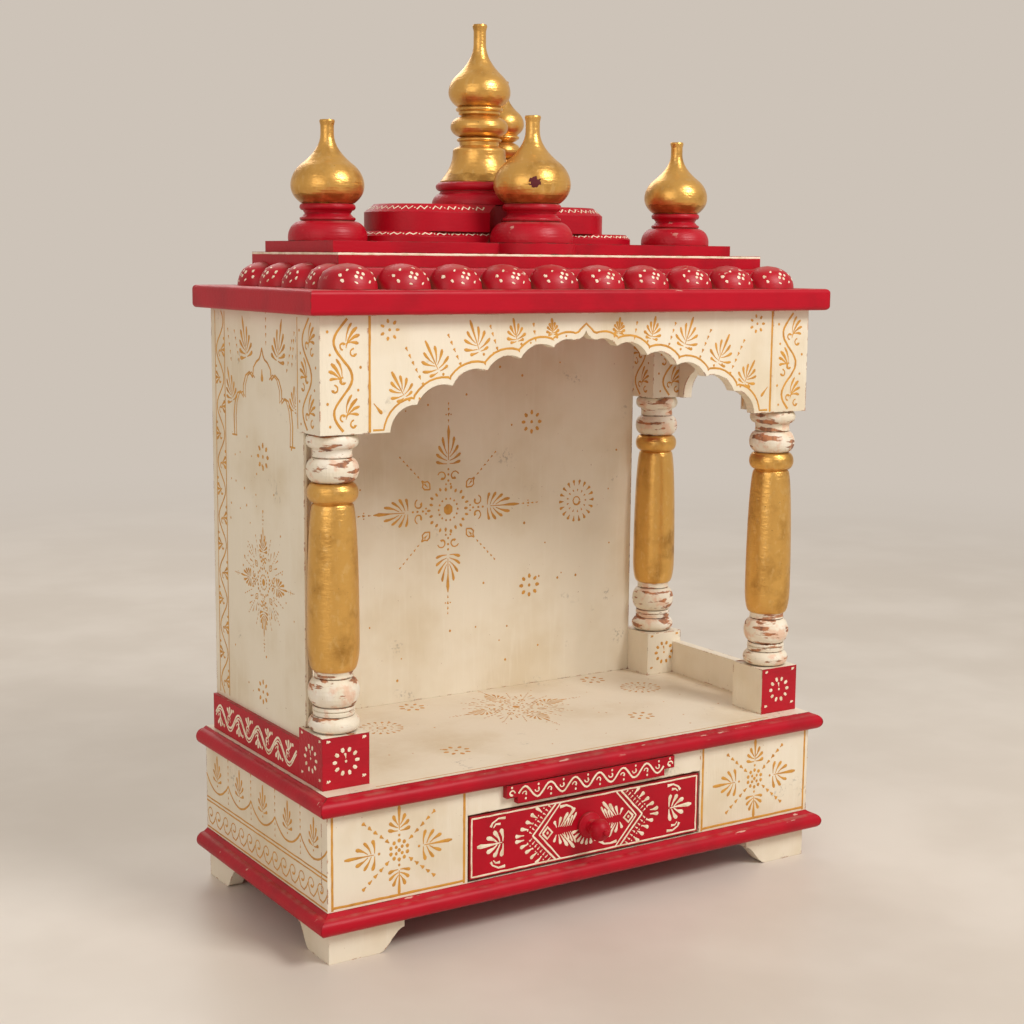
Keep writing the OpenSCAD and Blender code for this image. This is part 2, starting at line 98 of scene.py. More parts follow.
class TEMPLE_PG_sizes(bpy.types.PropertyGroup):
    paint_body: FloatProperty(name="Paint body", description="How flat a brush line lies, against its width",
                              default=0.16, min=0.05, max=0.5, subtype="FACTOR")
    line_w: FloatProperty(name="Line width", description="Half width of the ruled lines", default=1.1 * MM,
                          min=0.5 * MM, max=3 * MM, subtype="DISTANCE", unit="LENGTH")
    edge: FloatProperty(name="Edge wear", description="How far chipping reaches in from an edge",
                        default=2.8 * MM, min=0.5 * MM, max=6 * MM, subtype="DISTANCE", unit="LENGTH")
    garlands: IntProperty(name="Garlands", description="Garland arcs along a side of the base",
                          default=5, min=3, max=9)
    lamp: FloatProperty(name="Key lamp", description="Power of the key lamp", default=62, min=1, max=400,
                        subtype="POWER", unit="POWER")


def colours():
    return bpy.context.scene.temple_colours


def sizes():
    return bpy.context.scene.temple_sizes


# ---- materials ----

def add(tree, kind, values=None, links=None, **settings):
    """Adds a node, with its settings, its input values and the sockets that feed it."""
    made = tree.nodes.new(kind)
    for key, value in settings.items():
        setattr(made, key, value)
    for key, value in (values or {}).items():
        made.inputs[key].default_value = value
    for key, source in (links or {}).items():
        tree.links.new(source, made.inputs[key])
    return made


def rgba(colour):
    return (*colour, 1.0)


def spot(tree, where):
    """Object coordinates, made once in each tree, or one axis of them."""
    coords = tree.nodes.get("place") or add(tree, "ShaderNodeTexCoord", name="place")
    if where == "all":
        return coords.outputs["Object"]
    split = tree.nodes.get("axes")
    if not split:
        split = add(tree, "ShaderNodeSeparateXYZ", None, {"Vector": coords.outputs["Object"]}, name="axes")
    return split.outputs[where]


def cloud(tree, grain_mm, detail=3, stretch=(1, 1, 1), shift=0.0):
    """Noise whose lumps are about grain_mm across."""
    moved = add(tree, "ShaderNodeMapping", {"Scale": stretch, "Location": (shift, shift, shift)},
                {"Vector": spot(tree, "all")})
    return add(tree, "ShaderNodeTexNoise", {"Scale": 1 / (grain_mm * MM), "Detail": detail, "Roughness": 0.55},
               {"Vector": moved.outputs["Vector"]}).outputs["Fac"]


def step(tree, source, start, end, top=1.0):
    """0 below start, top above end, smooth between."""
    return add(tree, "ShaderNodeMapRange",
               {"From Min": start, "From Max": end, "To Min": 0.0, "To Max": top},
               {"Value": source}, interpolation_type="SMOOTHSTEP").outputs["Result"]


def math_of(tree, operation, a, b):
    made = add(tree, "ShaderNodeMath", operation=operation)
    for i, x in enumerate((a, b)):
        if isinstance(x, (int, float)):
            made.inputs[i].default_value = x
        else:
            tree.links.new(x, made.inputs[i])
    return made.outputs[0]


def blend(tree, share, a, b):
    """Mix of two colours or numbers, each a socket or a plain value."""
    if isinstance(a, (int, float)) and a == b:
        return a
    number = not any(isinstance(x, tuple) or getattr(x, "type", "") == "RGBA" for x in (a, b))
    made = add(tree, "ShaderNodeMix", data_type="FLOAT" if number else "RGBA", clamp_factor=True)
    tree.links.new(share, made.inputs[0])
    for i, x in zip((2, 3) if number else (6, 7), (a, b)):
        if isinstance(x, (int, float, tuple)):
            made.inputs[i].default_value = rgba(x) if isinstance(x, tuple) else x
        else:
            tree.links.new(x, made.inputs[i])
    return made.outputs[0 if number else 2]


def edge_mask(tree, reach):
    """1 on the piece's own edges, 0 a little way in."""
    round_off = add(tree, "ShaderNodeBevel", {"Radius": reach}, samples=6).outputs["Normal"]
    flat = add(tree, "ShaderNodeNewGeometry").outputs["True Normal"]
    turned = add(tree, "ShaderNodeVectorMath", None, {0: round_off, 1: flat}, operation="DOT_PRODUCT")
    return step(tree, math_of(tree, "SUBTRACT", 1.0, turned.outputs["Value"]), 0.01, 0.16)


def chips(tree, reach, grain_mm=14, start=0.52, shift=0.0):
    """Places along the edges where the paint has chipped."""
    patchy = step(tree, cloud(tree, grain_mm, 5, shift=shift), start, start + 0.06)
    return math_of(tree, "MULTIPLY", edge_mask(tree, reach), patchy)


def mix_coats(tree, share, under, over):
    """One coat laid over another where share is 1."""
    return {key: blend(tree, share, under[key], over[key]) for key in under}


def bare_wood(tree):
    """Bare mango wood: orange-brown, matt, with drawn-out grain."""
    grain = cloud(tree, 6, 4, stretch=(1, 1, 0.12))
    colour = blend(tree, step(tree, grain, 0.35, 0.7), tuple(colours().wood), linear("6E3B22"))
    return {"colour": colour, "rough": 0.72, "metal": 0.0, "height": math_of(tree, "MULTIPLY", grain, 0.5)}


def cream_coat(tree):
    """Old cream oil paint on board: hand-toned, a few specks and grey smudges, chipped at the edges."""
    tone = step(tree, cloud(tree, 120, 4), 0.38, 0.72, 0.75)
    colour = blend(tree, tone, tuple(colours().cream), tuple(colours().cream_deep))
    streak = step(tree, cloud(tree, 7, 3, stretch=(1, 1, 0.08)), 0.5, 0.75, 0.22)
    colour = blend(tree, streak, colour, linear("F2EAD9"))
    smudge = math_of(tree, "MULTIPLY", step(tree, cloud(tree, 45, 2, shift=3.0), 0.64, 0.74),
                     step(tree, cloud(tree, 4, 4, shift=1.0), 0.5, 0.66, 0.55))
    colour = blend(tree, smudge, colour, linear("8C8070"))
    speck = step(tree, cloud(tree, 3.2, 2, shift=7.0), 0.765, 0.79, 0.8)
    colour = blend(tree, speck, colour, linear("9A6A3E"))
    brushed = cloud(tree, 2.2, 3, stretch=(1, 1, 0.1))
    # Dirt and painted shade: the cream turns brown-grey in crevices and joints, where the surface sees little open
    # sky.
    colour = blend(tree, math_of(tree, "MULTIPLY", crevice_dirt_and_shade(tree, 4), 0.55), colour, linear("8F7658"))
    coat = {"colour": colour, "rough": blend(tree, tone, 0.42, 0.55), "metal": 0.0, "height": brushed}
    return mix_coats(tree, chips(tree, sizes().edge), coat, bare_wood(tree))


def red_coat(tree):
    """Red gloss enamel on wood: lively tone, brown rubbed edges, dusty scuffs on faces that look up."""
    tone = step(tree, cloud(tree, 50, 4, shift=2.0), 0.4, 0.7, 0.45)
    colour = blend(tree, tone, tuple(colours().red), tuple(colours().red_deep))
    lift = add(tree, "ShaderNodeSeparateXYZ", None,
               {"Vector": add(tree, "ShaderNodeNewGeometry").outputs["Normal"]}).outputs["Z"]
    dusty = math_of(tree, "MULTIPLY", step(tree, lift, 0.75, 0.95), step(tree, cloud(tree, 16, 5), 0.3, 0.75, 0.5))
    colour = blend(tree, dusty, colour, linear("B0766A"))
    scuff = math_of(tree, "MULTIPLY", step(tree, cloud(tree, 9, 5, stretch=(0.25, 1, 1), shift=5.0), 0.66, 0.7, 0.6),
                    step(tree, lift, 0.2, 0.8))
    colour = blend(tree, scuff, colour, linear("E3C9B4"))
    rubbed = chips(tree, sizes().edge * 0.8, 10, 0.5, 4.0)
    colour = blend(tree, math_of(tree, "MULTIPLY", rubbed, 0.75), colour, linear("5E2A20"))
    # Dirt and painted shade: the red turns brown in crevices and joints, where the surface sees little open sky.
    colour = blend(tree, math_of(tree, "MULTIPLY", crevice_dirt_and_shade(tree, 5), 0.75), colour, linear("8A5040"))
    height = math_of(tree, "ADD", cloud(tree, 3.5, 3, stretch=(0.15, 1, 1)), scuff)
    return {"colour": colour, "rough": blend(tree, dusty, 0.42, 0.68), "metal": 0.0, "height": height}


def carved_red_coat(tree):
    """The same enamel over carving: brown dirt and painted shade lie in the hollows between the petals."""
    coat = red_coat(tree)
    # Painted shade with dirt: darker, rougher brown where the hollows are hidden from open sky.
    hollow_dirt_and_shade = math_of(tree, "MULTIPLY", crevice_dirt_and_shade(tree, 9), 0.85)
    return mix_coats(tree, hollow_dirt_and_shade, coat, {**coat, "colour": linear("95604A"), "rough": 0.7})


def gold_coat(tree):
    """Gold bronze paint, brushed on: satin metal with a hammered brush texture and brown patina."""
    patina = step(tree, cloud(tree, 34, 5, shift=6.0), 0.48, 0.78, 0.7)
    colour = blend(tree, patina, tuple(colours().gold), tuple(colours().gold_deep))
    glint = step(tree, cloud(tree, 5, 4, stretch=(1, 1, 0.5)), 0.52, 0.72, 0.35)
    colour = blend(tree, glint, colour, linear("EBC684"))
    speck = step(tree, cloud(tree, 2.6, 2, shift=9.0), 0.74, 0.77, 0.7)
    colour = blend(tree, speck, colour, linear("4E2C12"))
    return {"colour": colour, "rough": blend(tree, patina, 0.3, 0.48), "metal": 0.78,
            "height": cloud(tree, 5, 4, stretch=(0.6, 0.6, 1.6))}


def crevice_dirt_and_shade(tree, reach_mm):
    """Dirt and bare joints in crevices, where two pieces or two shapes meet, together with painted shade: the colour
    darkens where little open sky reaches the surface.
    """
    open_sky = add(tree, "ShaderNodeAmbientOcclusion", {"Distance": reach_mm * MM}, samples=8).outputs["AO"]
    return step(tree, math_of(tree, "SUBTRACT", 1.0, open_sky), 0.42, 0.8)


def finish_material(name, coat_of, relief=0.5, depth=0.35, gloss=0.5, rounded=0.9):
    """A material from the coat that coat_of builds: brush relief some mm deep, and edges rounded by some mm.

    Gloss is the specular level. It is lower on the red and the gold, whose old paint has lost its shine."""
    material = bpy.data.materials.new(name)
    material.use_nodes = True
    tree = material.node_tree
    shader = tree.nodes["Principled BSDF"]
    shader.inputs["Specular IOR Level"].default_value = gloss
    coat = coat_of(tree)
    for key, socket in (("colour", "Base Color"), ("rough", "Roughness"), ("metal", "Metallic")):
        value = coat[key]
        if isinstance(value, (int, float)):
            shader.inputs[socket].default_value = value
        elif isinstance(value, tuple):
            shader.inputs[socket].default_value = rgba(value)
        else:
            tree.links.new(value, shader.inputs[socket])
    bump = add(tree, "ShaderNodeBump", {"Strength": relief, "Distance": depth * MM}, {"Height": coat["height"]})
    if rounded:
        soft = add(tree, "ShaderNodeBevel", {"Radius": rounded * MM}, samples=4).outputs["Normal"]
        tree.links.new(soft, bump.inputs["Normal"])
    tree.links.new(bump.outputs["Normal"], shader.inputs["Normal"])
    return material


def zone(tree, start, end, wobble=0.8):
    """1 between two heights in mm, with the slightly uneven edge of a brushed band."""
    uneven = math_of(tree, "MULTIPLY", math_of(tree, "SUBTRACT", cloud(tree, 12, 2), 0.5), 2 * wobble * MM)
    z = math_of(tree, "ADD", spot(tree, "Z"), uneven)
    return math_of(tree, "MULTIPLY", math_of(tree, "GREATER_THAN", z, start * MM),
                   math_of(tree, "LESS_THAN", z, end * MM))


def worn_cream(tree):
    """Cream paint on turned rings, rubbed through to orange wood and pink undercoat in broad patches."""
    coat = cream_coat(tree)
    coat = mix_coats(tree, step(tree, cloud(tree, 30, 3, shift=8.0), 0.45, 0.7, 0.5), coat,
                     {**coat, "colour": linear("F4EDE4")})
    blush = step(tree, cloud(tree, 16, 4, shift=11.0), 0.5, 0.64, 0.75)
    coat = mix_coats(tree, blush, coat, {**coat, "colour": linear("E2B79A")})
    rub = step(tree, cloud(tree, 14, 7, stretch=(0.6, 0.6, 2.4), shift=2.0), 0.55, 0.6, 0.9)
    return mix_coats(tree, rub, coat, bare_wood(tree))


BLOCK_H, TURNED_H = 51, 286
GOLD_FROM, GOLD_TO = 59.5, 239.8


def column_coat(faces):
    """Coats of one column: red block faces, cream post, worn rings and a gold shaft."""
    foot = low("column_front_left").z + BLOCK_H
    def build(tree):
        normal = add(tree, "ShaderNodeSeparateXYZ", None,
                     {"Vector": add(tree, "ShaderNodeNewGeometry").outputs["True Normal"]})
        coat = mix_coats(tree, zone(tree, foot, foot + TURNED_H, 0.0), cream_coat(tree), worn_cream(tree))
        coat = mix_coats(tree, zone(tree, foot + GOLD_FROM, foot + GOLD_TO), coat, gold_coat(tree))
        for axis in faces:
            facing = math_of(tree, "LESS_THAN", normal.outputs[axis], -0.6)
            block = math_of(tree, "MULTIPLY", facing, zone(tree, -1, foot + 0.2, 0.0))
            coat = mix_coats(tree, block, coat, red_coat(tree))
        return coat
    return build


def finial_coat(split, chip=None):
    """Coats of a finial: red turned foot, gold above, brown patina just over the red."""
    def build(tree):
        coat = mix_coats(tree, zone(tree, split, 2000), red_coat(tree), gold_coat(tree))
        patchy = step(tree, cloud(tree, 14, 4), 0.3, 0.6, 0.7)
        stain = math_of(tree, "MULTIPLY", zone(tree, split, split + 9, 2.5), patchy)
        coat = mix_coats(tree, stain, coat, {**coat, "colour": tuple(colours().gold_deep)})
        if chip:
            near = add(tree, "ShaderNodeVectorMath", {1: Vector(chip) * MM}, {0: spot(tree, "all")},
                       operation="DISTANCE").outputs["Value"]
            ragged = math_of(tree, "ADD", near, math_of(tree, "MULTIPLY", cloud(tree, 4, 3), 8 * MM))
            coat = mix_coats(tree, math_of(tree, "LESS_THAN", ragged, 9.5 * MM), coat,
                             {**bare_wood(tree), "colour": linear("5A1A20")})
        return coat
    return build


OCHRE, LINE = "ochre_brush_paint", "cream_brush_paint"
# their colour among the properties, the darker tone where the brush dwelt, roughness and slot
BRUSH_PAINTS = {OCHRE: ("ochre", "BC8230", 0.5, CREAM_SLOT),    # matt poster paint
                LINE: ("line", "D9C6A4", 0.42, RED_SLOT)}       # oil paint, a little glossier


def brush_paint(name):
    """Brush paint laid in strokes, made once."""
    colour, deep, rough, _ = BRUSH_PAINTS[name]

    def build(tree):
        shade = step(tree, cloud(tree, 9, 4), 0.4, 0.72)
        return {"colour": blend(tree, shade, tuple(getattr(colours(), colour)), linear(deep)), "rough": rough,
                "metal": 0.0, "height": cloud(tree, 1.5, 2)}
    return bpy.data.materials.get(name) or finish_material(name, build, relief=0.3, depth=0.2, rounded=0)


def paint_nodes(material, slot, *names):
    """Gives CAD nodes a material."""
    for name in names:
        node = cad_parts[name]
        if not node.material_slots:
            node.data.materials.append(material)
        for place in node.material_slots:
            place.material = material


# ---- brushwork ----

class Brush:
    """Collects brush strokes in the plane, in mm, and lays them on a surface as thin raised paint."""

    def __init__(self, seed, wobble=0.18):
        self.rng = random.Random(seed)
        self.wobble = wobble
        self.strokes = []
        self.at(0, 0)

    def at(self, x, y, turn=0.0, size=1.0, flip=1):
        """Sets where the next strokes go: place, turn in degrees (anticlockwise), size and mirror."""
        c, s = math.cos(math.radians(turn)), math.sin(math.radians(turn))
        self.move = lambda p: (x + size * (flip * p[0] * c - p[1] * s), y + size * (flip * p[0] * s + p[1] * c))
        self.size = size
        return self

    def line(self, points, radii, steady=False):
        """One stroke along points; radii is one half width in mm, or one for each point."""
        radii = [radii] * len(points) if isinstance(radii, (int, float)) else radii
        shake = 0 if steady else self.wobble
        self.strokes.append([(*self.nudge(p, shake), r * self.rng.uniform(0.88, 1.12))
                             for p, r in zip(points, radii)])

    def nudge(self, p, shake):
        x, y = self.move(p)
        return x + self.rng.uniform(-shake, shake), y + self.rng.uniform(-shake, shake)

    def ruled(self, x0, y0, x1, y1, r):
        """A ruled line by hand: nearly straight, its width a little uneven."""
        n = max(2, int(math.hypot(x1 - x0, y1 - y0) * self.size / 7))
        self.line([(x0 + (x1 - x0) * i / n, y0 + (y1 - y0) * i / n) for i in range(n + 1)], r)

    def dab(self, x0, y0, x1, y1, r, bow=0.0):
        """A teardrop from its thin tail to its round head."""
        nx, ny = y0 - y1, x1 - x0
        shape = ((0, 0.22), (0.35, 0.42), (0.68, 0.85), (0.86, 1.0), (1.0, 0.5))
        self.line([(x0 + (x1 - x0) * t + nx * bow * 4 * t * (1 - t), y0 + (y1 - y0) * t + ny * bow * 4 * t * (1 - t))
                   for t, _ in shape], [r * w for _, w in shape])

    def dot(self, x, y, r):
        k = r / self.size
        self.line([(x, y - k), (x, y - 0.45 * k), (x, y + 0.45 * k), (x, y + k)],
                  [0.35 * r, 0.92 * r, 0.92 * r, 0.35 * r], True)

    def curl(self, x, y, size, start, sweep, r, tight=0.35):
        """A spiral stroke that winds in to a heavier end."""
        n = 10
        points, radii = [], []
        for i in range(n + 1):
            t = i / n
            a, reach = math.radians(start + sweep * t), size * (1 - (1 - tight) * t)
            points.append((x + reach * math.cos(a), y + reach * math.sin(a)))
            radii.append(r * (0.7 + 0.9 * t ** 3))
        self.line(points, radii)

    def dashes(self, x0, y0, x1, y1, r, count):
        """A row of short dashes that ends in a dot."""
        for i in range(count):
            a, b = i / count, (i + 0.55) / count
            self.dab(x0 + (x1 - x0) * a, y0 + (y1 - y0) * a, x0 + (x1 - x0) * b, y0 + (y1 - y0) * b, r)

    def lay(self, name, surface, paint, body=TEMPLE):
        """Makes the strokes one piece on the surface, which maps (u, v, height) in mm to a point in mm."""
        bpy.ops.object.select_all(action="DESELECT")
        curve = bpy.data.curves.new(name, "CURVE")
        curve.dimensions, curve.twist_mode = "3D", "Z_UP"
        curve.bevel_depth, curve.bevel_resolution, curve.use_fill_caps = 1.0, 0, True
        for stroke in self.strokes:
            spline = curve.splines.new("POLY")
            spline.points.add(len(stroke) - 1)
            for point, (x, y, r) in zip(spline.points, stroke):
                point.co, point.radius = (x, y, 0, 1), r
        piece = bpy.data.objects.new(name, curve)
        bpy.context.scene.collection.objects.link(piece)
        piece.select_set(True)
        bpy.context.view_layer.objects.active = piece
        bpy.ops.object.convert(target="MESH")
        for vertex in piece.data.vertices:
            u, v, h = vertex.co
            vertex.co = surface(u, v, h * sizes().paint_body + 0.05) * MM
        bpy.ops.object.shade_flat()
        piece.data.materials.clear()
        piece.data.materials.append(brush_paint(paint))
        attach(piece, body)


def flat(origin, u, v):
    """A flat surface for brushwork: origin in mm, and the directions of u and v."""
    normal = u.cross(v)
    return lambda a, b, h: origin + u * a + v * b + normal * h


SLIM_FAN = ((0.17, 0.7), (0.29, 0.48), (0.36, 0.27), (0.36, 0.07))
OPEN_FAN = ((0.25, 0.64), (0.42, 0.38), (0.46, 0.1))
LEAFY_FAN = ((0.2, 0.72), (0.38, 0.52), (0.48, 0.24), (0.34, 0.02))


def palmette(b, fan=SLIM_FAN, r=0.04, leaf=True):
    """A fan of teardrops round a spear, pointing up, 1 high. The spear is a leaf, or a teardrop like the rest."""
    if leaf:
        b.line([(0, 0.1), (0, 0.5), (0, 0.68), (0, 0.84), (0, 1.0)],
               [s * b.size for s in (0.01, 0.016, 0.034, 0.044, 0.012)])
    else:
        b.dab(0, 0.05, 0, 1.0, r * b.size)
    for x, y in fan:
        for side in (-1, 1):
            b.dab(side * 0.04, y * 0.4 - 0.02, side * x, y, r * b.size, -0.06 * side)


def ring(count, start=0.0):
    """Cosine and sine of count evenly spaced directions; start is a share of one step."""
    for i in range(count):
        a = 2 * math.pi * (i + start) / count
        yield math.cos(a), math.sin(a)


def small_flower(b, r, petals=8):
    """A ring of seed-shaped petals round a dot."""
    for c, s in ring(petals):
        b.line([(c * r * 0.72, s * r * 0.72), (c * r * 0.9, s * r * 0.9), (c * r * 1.15, s * r * 1.15)],
               [r * 0.1, r * 0.18, r * 0.09])
    b.dot(0, 0, r * 0.16)


def double_flower(b, r):
    """Two rings of petals round a small ring."""
    for count, inner, outer, w in ((18, 0.84, 1.14, 0.085), (13, 0.5, 0.64, 0.05)):
        for c, s in ring(count):
            b.dab(inner * r * c, inner * r * s, outer * r * c, outer * r * s, w * r)
    b.curl(0, 0, 0.22 * r, 0, 350, 0.045 * r, 1.0)


def great_mandala(b, x, y, size=1.0, rich=False):
    """Centre dot, two rings, four palmettes with curls and spears, and four dotted diagonals."""
    b.at(x, y)
    bold = max(size, 0.85)
    b.dot(0, 0, 6 * size)
    for c, s in ring(14):
        b.dot(12.5 * size * c, 12.5 * size * s, 1.25 * bold)
    for i, (c, s) in enumerate(ring(22)):
        out = (21 + (2.2 if i % 2 else 0)) * size
        b.line([((out + t * size) * c, (out + t * size) * s) for t in (0, 2, 4.5)],
               [0.7 * bold, 1.75 * bold, 0.8 * bold])
    for turn in (0, 90, 180, 270):
        b.at(x, y, turn, size)
        for side in (-1, 1):
            b.curl(side * 8, 38, 6.2, 90 - side * 90 + 20 * side, side * 290, 1.1 * bold)
            b.dot(side * 3, 29, 1.2 * size)
        for r in (33, 40, 46):
            b.dot(0, r, 1.4 * bold)
        for r, dot in ((99, 1.0), (106, 1.5), (112, 1.1), (118, 0.8)):
            b.dab(0, r, 0, r + 3.6, dot * bold)
        for side in (-1, 1):
            b.dot(side * 3.2, 108, 0.9 * size)
        turned = math.radians(turn)
        b.at(x - 52 * size * math.sin(turned), y + 52 * size * math.cos(turned), turn, 44 * size)
        palmette(b, SLIM_FAN, 0.04 * bold / size)
        b.at(x, y, turn + 45, size)
        for side in (-1, 1):
            b.line([(0, 34), (side * 4.5, 39), (side * 4.6, 43), (side * 1.5, 45), (0, 49)], 0.9 * size)
        b.dab(0, 38, 0, 44, 1.2 * size)
        for i in range(6):
            b.dab(0, 53 + i * 6.6, 0, 56.4 + i * 6.6, 1.15 * bold)
        if rich:
            for lean in (-22, 22):
                b.at(x, y, turn + lean, size)
                for i in range(4):
                    b.dab(0, 52 + i * 9, 0, 58 + i * 9, 1.2 * size)
                b.curl(5, 46, 4, 0, 250, 0.9 * size)
            b.at(x, y, turn + 45, size)
            for side in (-1, 1):
                b.dab(side * 9, 50, side * 16, 62, 1.5 * size)
                b.dab(side * 5, 62, side * 9, 75, 1.4 * size)


def panel_star(b, x, y):
    """The smaller painted star of the base: dot rings, four palmettes and dotted diagonals."""
    b.at(x, y)
    b.dot(0, 0, 1.9)
    for count, reach, r in ((4, 4.6, 1.7), (10, 9.5, 2.0)):
        for c, s in ring(count, 0.5):
            b.dot(reach * c, reach * s, r)
    for turn, reach in ((0, 15), (90, 22), (180, 15), (270, 22)):
        b.at(x, y, turn)
        b.dot(0, reach, 1.4)
        turned = math.radians(turn)
        size = 26 if turn in (0, 180) else 33
        b.at(x - (reach + 4) * math.sin(turned), y + (reach + 4) * math.cos(turned), turn, size)
        palmette(b, OPEN_FAN, 1.9 / size, False)
    for lean in (50, -50, 130, -130):
        b.at(x, y, lean)
        for i in range(5):
            b.dab(0, 14 + i * 8.2, 0, 19.2 + i * 8.2, 2.0)


def scroll(b, length, half, period, r, leaves=2, seed_dots=True):
    """A running S line along u with curled leaves in its hollows."""
    n = int(length / 4)
    wave = [(length * i / n, half * math.sin(2 * math.pi * length * i / n / period)) for i in range(n + 1)]
    b.line(wave, r)
    turns = int(2 * length / period)
    for i in range(turns):
        side = -1 if i % 2 == 0 else 1
        x = (i + 0.5) * period / 2
        b.curl(x - 0.05 * period, 0, half * 0.42, 180 if side < 0 else 0, side * 250, r * 0.9)
        for k in range(leaves):
            a = math.radians(side * 90 + (k - (leaves - 1) / 2) * 36)
            tip = side * half * (0.25 + 1.15 * abs(math.sin(a)))
            b.dab(x, side * half * 0.25, x + half * 1.15 * math.cos(a), tip, r * 1.75)
        if seed_dots:
            b.dot(x + 0.2 * period, side * half * 1.1, r * 1.5)


def garland_side(b, length, top, count, w):
    """Side of the base: hanging arcs with palmettes, a double line and a running curl below."""
    span = length / count
    for i in range(count):
        b.at(span * (i + 0.5), 0)
        arc = [(span * (t / 12 - 0.5), top - 33 - 16 * math.sin(math.pi * t / 12) ** 0.8) for t in range(13)]
        b.line(arc, w)
        b.at(span * (i + 0.5), top - 38, 0, 30)
        palmette(b, ((0.2, 0.7), (0.33, 0.45), (0.36, 0.15)), 0.06, False)
        b.at(0, 0)
        b.dot(span * (i + 0.5), top - 41, 1.2)
        if i:
            for k in range(4):
                b.dab(span * i, top - 8 - k * 7, span * i, top - 4 - k * 7, w * 1.1)
            b.dashes(span * i, top - 38, span * i, top - 56, w, 3)
    b.at(0, 0)
    for drop in (59, 63):
        b.ruled(0, top - drop, length, top - drop, w * 0.8)
    b.ruled(0, top - 92, length, top - 92, w * 0.8)
    pitch, mid = 20.5, top - 77.5
    for i in range(int(length / pitch)):
        x = pitch * (i + 0.5)
        b.curl(x, mid + 2, 7.5, 200, -330, w * 0.85, 0.3)
        b.line([(x - 7, mid - 1), (x - 3, mid - 8), (x + 4, mid - 9.5), (x + 9, mid - 5), (x + 13, mid + 1)],
               w * 0.8)


def block_flower(b, x, y, petals=10):
    """Ring of round petals with a dot in the middle and one in each corner."""
    b.at(x, y)
    for c, s in ring(petals):
        b.line([(9.5 * c, 9.5 * s), (11.5 * c, 11.5 * s), (14 * c, 14 * s)], [1.0, 1.9, 1.2])
    b.dab(0, 3, -1, 8, 1.2)
    b.dot(0, 0, 1.3)
    for cx, cy in ((-19, 20), (19, 20), (19, -18), (-19, -19)):
        for lean in (0, 1):
            b.dab(cx - 1.5 * lean, cy, cx + 2 - 2 * lean, cy + 2.4, 1.2)


# ---- operators ----

class TEMPLE_OT_board_paint(bpy.types.Operator):
    """Paints the boards, mouldings, roof and drawer with their ground coats"""
    bl_idname = "temple.board_paint"
    bl_label = "Ground coats"

    def execute(self, context):
        cream = finish_material("cream_oil_paint", cream_coat)
        paint_nodes(cream, CREAM_SLOT, "foot_front_left", "foot_front_right", "foot_back_left", "foot_back_right",
                    "base_front_left", "base_front_right", "drawer_surround", "base_left", "base_right", "base_back",
                    "floor_board", "left_panel", "back_panel", "right_rail", "front_arch", "right_arch")
        red = finish_material("red_gloss_enamel", red_coat, gloss=0.25)
        paint_nodes(red, RED_SLOT, "bottom_board", "lower_moulding_front", "lower_moulding_left",
                    "lower_moulding_right", "upper_moulding_front", "upper_moulding_left", "upper_moulding_right",
                    "plaque", "left_strip", "roof_slab", "lower_tier", "upper_tier", "lower_disc",
                    "upper_disc", "drawer_front", "drawer_knob")
        wood = finish_material("bare_mango_wood", bare_wood)
        paint_nodes(wood, CREAM_SLOT, "drawer_runners", "drawer_sides", "drawer_back", "drawer_bottom")
        return {"FINISHED"}


class TEMPLE_OT_turned_paint(bpy.types.Operator):
    """Paints the turned columns and finials in bands of red, cream and gold"""
    bl_idname = "temple.turned_paint"
    bl_label = "Columns and finials"

    def execute(self, context):
        for name, faces in (("column_front_left", ("X", "Y")), ("column_front_right", ("Y",)),
                            ("column_back_right", ())):
            paint = finish_material(name + "_paint", column_coat(faces), relief=0.8, depth=0.7, gloss=0.35)
            paint_nodes(paint, GOLD_SLOT, name)
        seat = low("finial_left").z
        middle = (low("finial_front") + high("finial_front")) / 2
        bulb_r = (high("finial_front").x - low("finial_front").x) / 2 * 37 / 40    # its foot is the widest
        chip = Vector((middle.x, middle.y, seat + 60)) + bulb_r * Vector((-0.48, -0.87, 0))
        for name, split, spot_of in (("finial_left", seat + 37.4, None), ("finial_right", seat + 35.2, None),
                                     ("finial_front", seat + 40.0, chip),
                                     ("finial_middle", low("finial_middle").z + 24.6, None),
                                     ("finial_back", 0, None)):
            paint = finish_material(name + "_paint", finial_coat(split, spot_of), relief=0.8, depth=0.7, gloss=0.35)
            paint_nodes(paint, GOLD_SLOT, name)
        return {"FINISHED"}


class TEMPLE_OT_back_brushwork(bpy.types.Operator):
    """Brushwork on the back panel, inside the shrine"""
    bl_idname = "temple.back_brushwork"
    bl_label = "Back panel brushwork"

    def execute(self, context):
        b = Brush(11)
        great_mandala(b, -12, 383)
        for x, z in ((100, 478), (99, 285), (-170, 480), (-172, 272)):
            small_flower(b.at(x, z), 12)
        double_flower(b.at(165, 381), 22)
        double_flower(b.at(-205, 381), 20)
        b.at(0, 0)
        for _ in range(64):
            x, z = b.rng.uniform(-265, 235), b.rng.uniform(180, 600)
            if math.hypot(x + 12, z - 383) > 95:
                b.dot(x, z, b.rng.uniform(0.9, 1.7))
        face = low("back_panel").y
        b.lay("back_brushwork", flat(Vector((0, face, 0)), RIGHT, UP), OCHRE)
        return {"FINISHED"}


